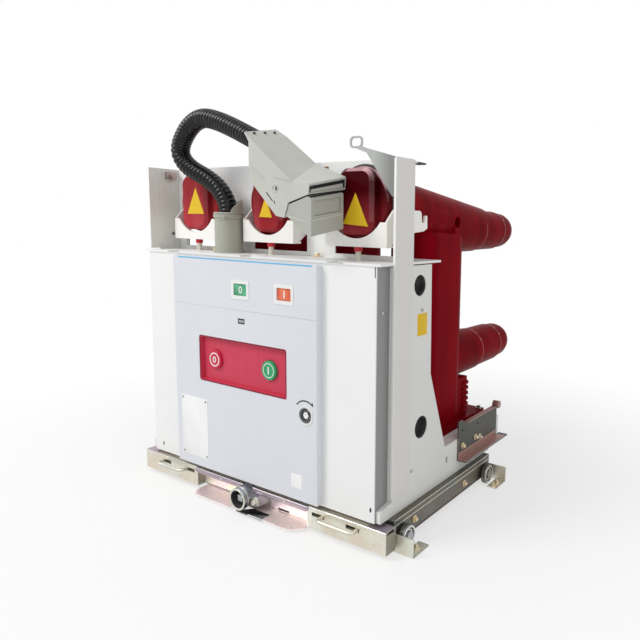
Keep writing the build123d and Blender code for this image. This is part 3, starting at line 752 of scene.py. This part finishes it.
def corrugatedHose(plugPieces):
    path = hosePath()
    # height of one rib, from groove to groove
    rib = (0.0, 0.55, 0.95, 1.0, 0.95, 0.55)
    places = alongPath(path, hose["pitch"] * mm / len(rib))
    form = Form("plugHose")
    steps = hose["ringSteps"]
    side = Vector((0, 1, 0))
    rings = []
    for i, here in enumerate(places):
        ahead = (places[min(i + 1, len(places) - 1)] - places[max(i - 1, 0)]).normalized()
        side = (side - ahead * side.dot(ahead)).normalized()
        other = ahead.cross(side)
        radius = (hose["radius"] - hose["groove"] * (1 - rib[i % len(rib)])) * mm
        turns = [2 * math.pi * k / steps for k in range(steps)]
        around = [here + (side * math.cos(t) + other * math.sin(t)) * radius for t in turns]
        rings.append([form.bm.verts.new(spot) for spot in around])
    for low, high in zip(rings, rings[1:]):
        for k in range(steps):
            form.bm.faces.new([low[k], low[(k + 1) % steps], high[(k + 1) % steps], high[k]])
    form.bm.faces.new(rings[0])
    form.bm.faces.new(list(reversed(rings[-1])))
    tube = form.done(hoseBlack, "truck", smooth=80)
    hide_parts("plug_hose")
    tuple(at(*hose["route"][0]))


hoseSocket = {
    "x": -100.0,
    "y": 44.0,
    "top": 562.0,
    "wall": 26.5,
    "collarHigh": 27.0,
    "collarFrom": -35.0,  # degrees from the right, turning to the rear
    "collarTo": 150.0,
    "clipTurn": -52.0,
    "clipDrop": 10.0,
}


def socketTrim():
    # rolled lip, a second band and the curved collar that stands behind the hose
    x, y, top = (hoseSocket[k] for k in ("x", "y", "top"))
    trim = Form("socketTrim")
    wall = hoseSocket["wall"]
    lip = [(wall, 0), (wall + 1.6, 0.8), (wall + 1.9, 2.2), (wall + 1.2, 3.6), (wall - 1, 4)]
    trim.lathe(lip, onTop(x, y, top - 3.8), 40)
    band = [(wall, 0), (wall + 0.9, 0.6), (wall + 0.9, 2.2), (wall, 2.8)]
    trim.lathe(band, onTop(x, y, top - 16), 40)
    steps = 30
    start, end = hoseSocket["collarFrom"], hoseSocket["collarTo"]
    rows = []
    for i in range(steps + 1):
        share = i / steps
        turn = math.radians(start + (end - start) * share)
        high = top - 2 + hoseSocket["collarHigh"] * math.sin(math.pi * share) ** 0.6
        row = []
        for radius, z in ((wall, top - 2), (wall, high), (wall - 1.8, high), (wall - 1.8, top - 2)):
            row.append(trim.bm.verts.new(at(x + radius * math.cos(turn), y + radius * math.sin(turn), z)))
        rows.append(row)
    for low, high in zip(rows, rows[1:]):
        for k in range(4):
            trim.bm.faces.new([low[k], low[(k + 1) % 4], high[(k + 1) % 4], high[k]])
    trim.bm.faces.new(rows[0])
    trim.bm.faces.new(rows[-1])
    turn = math.radians(hoseSocket["clipTurn"])
    out = Vector((math.cos(turn), math.sin(turn), 0))
    clip = Vector((x, y, top - hoseSocket["clipDrop"])) + out * wall
    trim.plate(oblong(9, 7, 1), standing(*clip, out), 3.2, 0.6)
    trim.done(socketPlastic, "truck")
    screw = Form("socketScrew")
    panScrew(screw, standing(*(clip + out * 3.2), out), 2.2)
    screw.done(zinc, "truck")


plugHood()
coverMarks()
corrugatedHose(plugMarks() + ["plug_hood", "plug_cover"])
socketTrim()
print("plug and hose made")

light = {
    "worldDiffuse": 0.52,
    "keySpot": (-1.5, -2.3, 2.9),
    "keyWatts": 70,
    "keySize": 1.4,
    "fillSpot": (2.4, -1.2, 2.0),
    "fillWatts": 14,
    "fillSize": 2.0,
    "floorColour": (0.86, 0.86, 0.85),
    "floorGlow": (0.62, 1.0),  # share of plain white under the truck and far away
    "floorFade": (0.42, 1.1),
}


def lightWorld():
    world = bpy.data.worlds.new("softRoom")
    bpy.context.scene.world = world
    world.use_nodes = True
    tree = world.node_tree
    tree.nodes.clear()
    out = tree.nodes.new("ShaderNodeOutputWorld")
    blend = tree.nodes.new("ShaderNodeMixShader")
    lit = tree.nodes.new("ShaderNodeBackground")
    seen = tree.nodes.new("ShaderNodeBackground")
    lit.inputs["Color"].default_value = (0.97, 0.98, 1.0, 1)
    lit.inputs["Strength"].default_value = light["worldDiffuse"]
    seen.inputs["Color"].default_value = (1, 1, 1, 1)
    seen.inputs["Strength"].default_value = 1.0
    rays = tree.nodes.new("ShaderNodeLightPath")
    first = tree.nodes.new("ShaderNodeMath")
    first.operation = "MAXIMUM"
    second = tree.nodes.new("ShaderNodeMath")
    second.operation = "MAXIMUM"
    tree.links.new(rays.outputs["Is Camera Ray"], first.inputs[0])
    tree.links.new(rays.outputs["Is Glossy Ray"], first.inputs[1])
    tree.links.new(first.outputs[0], second.inputs[0])
    tree.links.new(rays.outputs["Is Transmission Ray"], second.inputs[1])
    tree.links.new(second.outputs[0], blend.inputs[0])
    tree.links.new(lit.outputs[0], blend.inputs[1])
    tree.links.new(seen.outputs[0], blend.inputs[2])
    tree.links.new(blend.outputs[0], out.inputs["Surface"])


def areaLamp(name, spot, watts, size):
    data = bpy.data.lights.new(name, "AREA")
    data.energy = watts
    data.size = size
    lamp = bpy.data.objects.new(name, data)
    bpy.context.scene.collection.objects.link(lamp)
    lamp.location = spot
    lamp.rotation_euler = (Vector((0, 0, 0.35)) - Vector(spot)).to_track_quat("-Z", "Y").to_euler()


def paleFloor():
    floor = Finish("paleFloor")
    cloud = floor.grain(2.0, 3).span(0.3, 0.7)
    tone = floor.blend(cloud, light["floorColour"], shade(light["floorColour"], 0.985))
    floor.surface(tone, 0.7, floor.grain(300, 2), 0.0001)
    glow = floor.tree.nodes.new("ShaderNodeEmission")
    mix = floor.tree.nodes.new("ShaderNodeMixShader")
    away = floor.add("ShaderNodeVectorMath", {"operation": "LENGTH"}, [floor.spot((1, 1, 0))], out="Value")
    kinds = ("Is Camera Ray", "Is Glossy Ray", "Is Transmission Ray")
    rays = [floor.add("ShaderNodeLightPath", out=kind) for kind in kinds]
    seen = (rays[0] + rays[1] + rays[2]).span(0.0, 1.0)
    floor.feed(mix.inputs[0], seen * away.span(*light["floorFade"], *light["floorGlow"]))
    floor.tree.links.new(floor.shader.outputs[0], mix.inputs[1])
    floor.tree.links.new(glow.outputs[0], mix.inputs[2])
    out = [n for n in floor.tree.nodes if n.bl_idname == "ShaderNodeOutputMaterial"][0]
    floor.tree.links.new(mix.outputs[0], out.inputs[0])
    mesh = bpy.data.meshes.new("floor")
    half = 30.0
    corners = [(-half, -half, 0), (half, -half, 0), (half, half, 0), (-half, half, 0)]
    mesh.from_pydata(corners, [], [(0, 1, 2, 3)])
    mesh.materials.append(floor.material)
    plane = bpy.data.objects.new("floor", mesh)
    bpy.context.scene.collection.objects.link(plane)


lightWorld()
areaLamp("keyLamp", light["keySpot"], light["keyWatts"], light["keySize"])
areaLamp("fillLamp", light["fillSpot"], light["fillWatts"], light["fillSize"])
paleFloor()
bpy.context.scene.view_settings.view_transform = "Standard"
print("stage lit")

door = {
    "face": -13.0,
    "stripe": (-6, 474.6, 352, 2.6),  # middle x, z, width, height
    "rating": (-143, 137, 78, 122),
    "charge": (154, 216),
    "arrowRadius": 26.0,
    "windows": (-5, 105),
    "windowZ": 422.0,
    "counter": (-3.5, 364),
    "offX": -84.0,
    "onX": 62.0,
    "buttonZ": 281.0,
    "buttonTop": -10.0,
    "lowSign": (132, 92, 26, 26),
    "recess": (-7, 281, 234, 90),
}


def doorMarks():
    face = door["face"]
    x, z, wide, high = door["stripe"]
    stripe = Form("doorStripe")
    stripe.plate(oblong(wide, high), onFront(x, face, z), 0.3)
    stripe.done(stripeBlue, "truck", smooth=0)
    x, z, wide, high = door["rating"]
    plate = Form("ratingPlate")
    plate.plate(oblong(wide, high, 2), onFront(x, face, z), 0.6, 0.25)
    plate.done(plateWhite, "truck")
    rivets = Form("ratingRivets")
    for sx in (-1, 1):
        for sz in (-1, 1):
            rivet(rivets, onFront(x + sx * (wide / 2 - 5), face - 0.6, z + sz * (high / 2 - 5)))
    rivets.done(zinc, "truck")
    x, z, wide, high = door["lowSign"]
    sign = Form("bareDoorPlate")
    sign.plate(oblong(wide, high, 2), onFront(x, face, z), 0.5, 0.2)
    sign.done(plateWhite, "truck")
    x, z, wide, high = door["recess"]
    # painted shade: a dark crimson line round the recess's edge
    lip = Form("recessShadeLine")
    for sign in (-1, 1):
        lip.plate(oblong(wide - 8, 1.4), onFront(x, face, z + sign * (high / 2 - 1.5)), 0.4)
        lip.plate(oblong(1.4, high - 8), onFront(x + sign * (wide / 2 - 1.5), face, z), 0.4)
    lip.done(crimsonShade, "truck", smooth=0)


def arcBand(form, place, radius, wide, start, end, thick, steps=24):
    # flat band bent round an arc, start and end in degrees
    points = []
    for r, order in ((radius + wide / 2, 1), (radius - wide / 2, -1)):
        turns = [start + (end - start) * i / steps for i in range(steps + 1)][::order]
        points += [(r * math.cos(math.radians(t)), r * math.sin(math.radians(t))) for t in turns]
    form.plate(points, place, thick)


def chargingMarks():
    x, z = door["charge"]
    radius = door["arrowRadius"]
    arrow = Form("chargingArrow")
    face = onFront(x, door["face"], z)
    arcBand(arrow, face, radius, 2.2, 62, 140, 0.3)
    tip = Vector((math.cos(math.radians(56)), math.sin(math.radians(56)))) * radius
    arrow.plate([tip + Vector(p) for p in ((3.4, -3.4), (2.4, 3.6), (-3.4, 0.4))], face, 0.3)
    arrow.done(inkBlack, "truck", smooth=0)
    collar = Form("chargingCollar")
    ring(collar, face, 17.6, 14.4, 1.2)
    collar.done(palePaint, "truck")
    bore = Form("chargingBore")
    lining = [(12.9, 0), (12.9, 7), (12.4, 7.3), (12.4, 0.5), (7.4, 0.5), (7.4, 0)]
    bore.lathe(lining, onFront(x, -5.1, z), 40)
    bore.done(boreGrey, "truck")
    nut = Form("chargingNut")
    nut.lathe([(6.6, 0), (6.6, 1), (6, 1.4), (3.4, 1.4), (3.2, 0.4), (0, 0.4)], onFront(x, -11.0, z), 6)
    nut.done(brightSteel, "truck")


def glyphZero(form, place, tall, wide, stroke, thick):
    # plain oval 0
    steps = 28
    turns = [2 * math.pi * i / steps for i in range(steps)]
    layers = []
    for shrink in (0, stroke):
        across, up = wide / 2 - shrink, tall / 2 - shrink
        for height in (0, thick):
            spots = [Vector((across * math.cos(t), up * math.sin(t), height)) for t in turns]
            layers.append([form.bm.verts.new(place @ spot) for spot in spots])
    for a, b in ((0, 1), (1, 3), (3, 2)):
        for i in range(steps):
            k = (i + 1) % steps
            form.bm.faces.new([layers[a][i], layers[a][k], layers[b][k], layers[b][i]])


def windowPanes():
    green = Form("paneOpen")
    red = Form("paneClosed")
    marks = Form("paneMarks")
    for form, x in zip((green, red), door["windows"]):
        form.plate(oblong(33.4, 21.4, 1.8), onFront(x, -11.5, door["windowZ"]), 0.8, 0.3)
    glyphZero(marks, onFront(door["windows"][0], -12.3, door["windowZ"]), 13, 9, 2.2, 0.2)
    marks.plate(oblong(2.6, 13), onFront(door["windows"][1], -12.3, door["windowZ"]), 0.2)
    green.done(paneGreen, "truck")
    red.done(paneRed, "truck")
    marks.done(markWhite, "truck", smooth=0)


def counterDigits():
    digits = Form("counterDigits")
    x, z = door["counter"]
    for i in range(4):
        glyphZero(digits, onFront(x + (i - 1.5) * 3.6, -12.5, z), 4.6, 2.6, 0.7, 0.2)
    digits.done(markWhite, "truck", smooth=0)


def buttonMarks():
    off = Form("offMark")
    spot = onFront(door["offX"], door["buttonTop"], door["buttonZ"])
    ring(off, spot, 13.6, 11.4, 0.4)
    glyphZero(off, spot, 12, 9, 2.2, 0.4)
    off.done(markWhite, "off_push")
    on = Form("onMark")
    spot = onFront(door["onX"], door["buttonTop"], door["buttonZ"])
    on.plate(oblong(2.6, 14, 0.6), spot, 0.4)
    ring(on, spot, 13.6, 12.2, 0.4)
    on.done(markWhite, "on_push")


doorMarks()
chargingMarks()
windowPanes()
counterDigits()
buttonMarks()
print("door dressed")

body = {
    "half": 295.0,
    "side": 303.5,
    "slots": ((-267, 71), (286, 76)),
    "slit": (291, 471),
    "wingScrew": (15.8, 404.8),
    "holes": ((112, 443, 18.5), (124, 187, 20.5)),  # y, z, radius
    "sideSlot": (220, 93, 14, 6),
    "sideScrews": ((119.3, 399.4), (93.9, 115.1)),
    "sidePatch": (121, 374, 31, 39),
    "topBolts": ((105, 72, 0), (-176, 72, 0), (-158, 74, 14), (186, 104, 0), (-60, 104, 0), (262, 104, 0)),
    "corkSlot": (114, 643, 20, 9),
    "capFace": 46.0,
    "capPatches": (  # x and z of each patch's corners
        ((-200.8, 611.3), (-227.5, 558.4), (-175.8, 558.9)),
        ((0.6, 592.2), (-17, 554.4), (16.7, 553.7)),
        ((213.6, 597.2), (186.4, 545.4), (240.6, 541.4)),
    ),
}


def bodyFittings():
    # painted shade: black plates in the housing's slots and slit, black discs and dark liners in the side
    # plates' holes, and a black plate in each side slot
    pits = Form("bodyPits")
    for x, z in body["slots"]:
        pits.plate(oblong(3.6, 8.6, 1.6), onFront(x, 2.9, z), 0.8)
    pits.plate(oblong(1.8, 17), onFront(body["slit"][0], 5.5, body["slit"][1]), 0.6)
    liners = Form("holeLiners")
    for onSide, side in ((onRight, 1), (onLeft, -1)):
        for y, z, radius in body["holes"]:
            turned = onSide(side * (body["half"] + 0.2), y, z)
            pits.lathe([(radius - 1.4, 0), (radius - 1.4, 0.8), (0, 0.8)], turned, 40)
            ring(liners, turned, radius - 0.1, radius - 1.5, 7.2, 48)
        y, z, high, wide = body["sideSlot"]
        pits.plate(oblong(wide + 4, high + 4), onSide(side * (body["side"] - 4.5), y, z), 1.2)
    pits.done(pitBlack, "truck", smooth=0)
    liners.done(linerGrey, "truck")
    x, z, wide, high = body["corkSlot"]
    cork = Form("corkPiece")
    cork.plate(oblong(wide - 0.8, high - 0.8, 1), onFront(x, 85.9, z), 1.6, 0.4)
    cork.done(corkBrown, "truck")
    small = Form("sideScrews")
    for onSide, side in ((onRight, 1), (onLeft, -1)):
        panScrew(small, onSide(side * body["half"], *body["wingScrew"]), 3.6)
        for y, z in body["sideScrews"]:
            panScrew(small, onSide(side * body["side"], y, z), 3.4)
    small.done(steel, "truck")
    golden = Form("topBolts")
    for x, y, spare in body["topBolts"]:
        hexBolt(golden, onTop(x, y, 484), 9, spare)
    golden.done(gold, "truck")


upright = {
    "edges": (  # x, y and z of its middle, width, height, thickness and lip
        (303.8, 33, 369, 4.5, 562, 0.7, 0.3),
        (-303.8, 11, 569, 4.5, 164, 0.7, 0.3),
        (-282, 83.4, 569, 3, 160, 0.6, 0.2),
    ),
    "webFace": -303.5,
    "creases": (28, 41, 64),
    "creaseZ": 567.0,
    "screws": ((70, 640), (64, 516)),
    "tab": (294.5, 111, 647.6),
}


def uprightFolds():
    # painted highlight along the folded edges, the left web's creases and screws, and the dark tabs behind
    edges = Form("uprightEdges")
    for x, y, z, wide, high, thick, lip in upright["edges"]:
        edges.plate(oblong(wide, high), onFront(x, y, z), thick, lip)
    edges.done(foldHighlight, "truck")
    creases = Form("webCreases")
    for y in upright["creases"]:
        creases.plate(oblong(1.6, 158), onRight(upright["webFace"], y, upright["creaseZ"]), 0.5, 0.2)
    creases.done(webPaint, "truck")
    screws = Form("webScrews")
    for y, z in upright["screws"]:
        panScrew(screws, onRight(upright["webFace"], y, z), 3.4)
    screws.done(zinc, "truck")
    tabs = Form("uprightTabs")
    x, y, z = upright["tab"]
    for side in (-1, 1):
        tabs.plate(oblong(17, 28, 1), onTop(side * x, y, z), 2.8, 0.4)
    tabs.done(darkSteel, "truck")


def signPatches():
    patch = Form("sidePatch")
    y, z, wide, high = body["sidePatch"]
    patch.plate(oblong(wide, high, 1.5), onRight(body["side"], y, z), 0.5, 0.2)
    patch.done(signYellow, "truck")
    signs = Form("capPatches")
    for outline in body["capPatches"]:
        signs.plate(outline, onFront(0, body["capFace"], 0), 0.6, 0.2)
    signs.done(signYellow, "truck")


arms = {
    "x": (-210, 0, 210),
    "z": (537, 262),
    "lines": ((461, 47.1), (563, 44.1)),  # y and radius of each parting line
    "chipTurns": (34, 58, 71, 97),
    "sheds": 6,
    "lowShed": 146.0,
    "shedPitch": 12.0,
    "shedY": 375.5,
    "footNut": (49, 441, 132),
}


def armRings():
    # pale hairline rings where the sleeves were parted in the mould, with a few chipped bright spots
    lines = Form("armRings")
    chips = Form("armChips")
    for x in arms["x"]:
        for z in arms["z"]:
            for y, radius in arms["lines"]:
                ring(lines, onBack(x, y, z), radius, radius - 3, 1.5, 64)
                for turn in arms["chipTurns"]:
                    a = math.radians(turn)
                    out = (math.cos(a), 0, math.sin(a))
                    spot = standing(x + radius * out[0], y + 0.8, z + radius * out[2], out)
                    chips.lathe([(1.5, -0.6), (1.3, 0.3), (0, 0.4)], spot, 8)
    lines.done(ringLine, "truck")
    chips.done(markPink, "truck", smooth=0)
    sheds = Form("blockSheds")
    for x in arms["x"]:
        for i in range(arms["sheds"]):
            z = arms["lowShed"] + i * arms["shedPitch"]
            sheds.plate(oblong(100, 30, 6), onTop(x, arms["shedY"], z - 3), 6, 2.2)
    sheds.done(redEpoxy, "truck")
    bolts = Form("footNuts")
    across, y, z = arms["footNut"]
    for x in arms["x"]:
        for side in (-1, 1):
            hexBolt(bolts, onTop(x + side * across, y, z), 8)
    bolts.done(zinc, "truck")


bodyFittings()
uprightFolds()
signPatches()
armRings()
print("body dressed")

beam = {
    "front": -5.0,
    "half": 322.0,
    "bayBack": 12.0,
    "top": 48.0,
    "handleX": (175.0, 252.0),
    "slotZ": 36.0,
    "lid": ((-155, 39.5), (-150, 36.8), (146, 36.8), (152, 39.5), (152, 47.4), (-155, 47.4)),
    "endPatch": (301.5, 8.5, 40, 27),  # x and y of its middle, width and depth
    "endGap": ((-4, 44), (4, 47.6), (15, 47.6), (20, 41)),
    "creamWall": (-86.5, 24.5, 124, 30),  # x and z of its middle, width and height
    "pinkWall": (95.5, 24.5, 107, 30),
    "cheek": (150, 3.5, 24.5, 16, 29),
    "lidRivets": (-76, 95),
    "faceRivets": ((-268, 20), (-205, 17), (214, 19), (296, 22)),
    "trayRivets": ((-70, -26), (88, -27), (126, -22), (-118, -14)),
    "trayTop": 8.0,
}


def beamDress():
    front, top = beam["front"], beam["top"]
    lid = Form("bayLid")
    lid.plate(beam["lid"], onFront(0, front, 0), 2.6, 1.1)
    x, y, wide, deep = beam["endPatch"]
    for side in (1, -1):
        lid.plate(oblong(wide, deep), onTop(side * x, y, top), 0.3)
    lid.done(zincPurple, "front_carriage")
    walls = Form("bayWallCream")
    x, z, wide, high = beam["creamWall"]
    walls.plate(oblong(wide, high), onFront(x, beam["bayBack"], z), 0.4)
    walls.done(zincCream, "front_carriage")
    pink = Form("bayWallPink")
    x, z, wide, high = beam["pinkWall"]
    pink.plate(oblong(wide, high), onFront(x, beam["bayBack"], z), 0.4)
    x, y, z, wide, high = beam["cheek"]
    pink.plate(oblong(wide, high), onLeft(x, y, z), 0.4)
    pink.done(zincPink, "front_carriage")
    # painted highlight: bright strips along the beam's top edge and the sides of the bay
    edge = Form("beamEdgeHighlight")
    for side in (-1, 1):
        edge.plate(oblong(168, 2.2), onFront(side * 237.5, front, top - 1.4), 0.7, 0.3)
        edge.plate(oblong(1.6, 37), onFront(side * 152.5, front, 27), 0.5, 0.2)
    edge.done(brightSteel, "front_carriage")
    # black plates painted as shade: the shadow line under the housing, the slot in the bay wall, the notch at
    # each end and the bottoms of the handle slots; also a dark line along the cream wall's foot
    dark = Form("beamPits")
    dark.plate(oblong(304, 1.6), onFront(0, front, top - 0.2), 0.5)
    dark.plate(oblong(28, 3.2, 1.2), onFront(75, beam["bayBack"] - 0.4, 11.2), 0.5)
    dark.plate(oblong(118, 1.0), onFront(-86, beam["bayBack"] - 0.4, 9.6), 0.4)
    dark.plate(beam["endGap"], onRight(beam["half"], 0, 0), 0.3)
    for side in (-1, 1):
        for x in beam["handleX"]:
            reach = side * (x - 10)
            dark.plate(oblong(28.6, 7), onFront(reach, 10.9, beam["slotZ"]), 2.0)
    dark.done(pitBlack, "front_carriage", smooth=0)
    dots = Form("beamRivets")
    for x in beam["lidRivets"]:
        rivet(dots, onFront(x, front - 2.6, 42), 2.6)
    for x, z in beam["faceRivets"]:
        rivet(dots, onFront(x, front, z), 2.2)
    for x, y in beam["trayRivets"]:
        rivet(dots, onTop(x, y, beam["trayTop"]), 2.0)
    dots.done(zincPale, "front_carriage")


cup = {
    "z": 30.0,
    "mouth": -33.0,
    "collar": -24.0,
    "floor": -4.0,
    "lining": ((16.95, 0), (16.95, 27), (16.2, 27.4), (16.2, 0.8), (9.6, 0.8), (9.6, 0)),
    "boss": (28, -14, 25),
    "shoeZ": 4.6,
    "shoe": ((-6, -31), (20, -31), (61, -12), (61, -9.4), (16, -9.4)),
    "shoeWeb": ((26, -31), (61, -31), (61, -13.6)),
}


def cupDress():
    rim = Form("cupRim")
    # painted highlight: the pale ring at the mouth stands for light on its chamfer; the second ring is the
    # collar
    ring(rim, onFront(0, cup["mouth"], cup["z"]), 21.0, 17.0, 0.9, 56)
    ring(rim, onFront(0, cup["collar"], cup["z"]), 21.5, 20.2, 1.2, 56)
    rim.done(zincPale, "front_carriage")
    # painted shade: a dark lining inside the cup to show its depth
    inside = Form("cupInside")
    inside.lathe(cup["lining"], onFront(0, cup["floor"], cup["z"]), 48)
    inside.done(linerGrey, "front_carriage")
    bolt = Form("bossBolt")
    hexBolt(bolt, onFront(*cup["boss"]), 10)
    bolt.done(zincPale, "front_carriage")
    shoe = Form("cupShoe")
    shoe.plate(cup["shoe"], onTop(0, 0, cup["shoeZ"]), 2.6, 0.5)
    shoe.done(darkSteel, "front_carriage")
    web = Form("cupShoeWeb")
    web.plate(cup["shoeWeb"], onTop(0, 0, cup["shoeZ"]), 2.8, 0.5)
    web.done(steel, "front_carriage")


rail = {
    "out": 316.0,
    "front": 27.0,
    "rear": 385.0,
    "bolts": ((88.9, 32), (272.4, 29)),
    "feet": ((344, 32), (344, 52), (347, 345), (347, 362)),
    "wheelFace": 330.0,
    "wheelY": (52.0, 360.0),
    "wheelZ": 20.0,
}


def railDress():
    middle = (rail["front"] + rail["rear"]) / 2
    long = rail["rear"] - rail["front"] - 6
    # painted highlight: pale lines along the rail's upper edges; painted shade: a dark band low on its face
    bright = Form("railEdgeHighlight")
    shadow = Form("railShade")
    golden = Form("railBolts")
    for onSide, side in ((onRight, 1), (onLeft, -1)):
        bright.plate(oblong(long, 1.4), onSide(side * rail["out"], middle, 43.4), 0.5, 0.2)
        bright.plate(oblong(long, 1.0), onSide(side * rail["out"], middle, 53.2), 0.4, 0.2)
        shadow.plate(oblong(long, 6.4), onSide(side * rail["out"], middle, 15.6), 0.3, 0.1)
        for y, z in rail["bolts"]:
            hexBolt(golden, onSide(side * rail["out"], y, z), 7)
    for side in (-1, 1):
        for x, y in rail["feet"]:
            hexBolt(golden, onTop(side * x, y, 4), 7, 2.5)
    bright.done(zincPale, "truck")
    shadow.done(zincDark, "truck")
    golden.done(gold, "truck")


def wheelRims():
    for onSide, side, word in ((onRight, 1, "right"), (onLeft, -1, "left")):
        for y, place in zip(rail["wheelY"], ("front", "rear")):
            rims = Form(word + place.capitalize() + "Rims")
            ring(rims, onSide(side * rail["wheelFace"], y, rail["wheelZ"]), 18.2, 15.4, 0.5, 48)
            ring(rims, onSide(side * (rail["wheelFace"] - 2.5), y, rail["wheelZ"]), 12.6, 10.6, 0.7, 40)
            rims.done(brightSteel, word + "_" + place + "_roller")


bracket = {
    "face": 306.5,
    "holes": ((277.3, 136.8), (345.6, 133.1)),
    "bolts": ((279.3, 103.8), (335.2, 105.3), (354.2, 101.0)),
    "rollerY": 446.0,
    "rollerZ": 148.0,
    "roller": ((0, -7.2), (8.2, -7.2), (8.3, -6.6), (8.3, 6.6), (8.2, 7.2), (0, 7.2)),
}


def bracketDress():
    rust = Form("bracketRust")
    golden = Form("bracketBolts")
    pits = Form("bracketHoles")
    for onSide, side in ((onRight, 1), (onLeft, -1)):
        rust.plate(oblong(18.6, 182), onTop(side * 316, 351.5, 79.5), 0.4, 0.1)
        rust.plate(oblong(172, 13), onSide(side * bracket["face"], 349, 86.4), 0.3, 0.1)
        rust.plate(oblong(11.6, 142), onTop(side * 300.5, 374, 145.5), 0.4, 0.1)
        rust.lathe(bracket["roller"], onSide(side * 301.5, bracket["rollerY"], bracket["rollerZ"]), 32)
        # painted shade: the bracket's holes drawn as black discs
        for y, z in bracket["holes"]:
            pits.lathe([(2.6, 0), (2.6, 0.3), (0, 0.3)], onSide(side * bracket["face"], y, z), 16)
        for y, z in bracket["bolts"]:
            hexBolt(golden, onSide(side * bracket["face"], y, z), 7)
    rust.done(zincRust, "truck")
    golden.done(gold, "truck")
    pits.done(pitBlack, "truck", smooth=0)


beamDress()
cupDress()
railDress()
wheelRims()
bracketDress()
print("truck dressed")
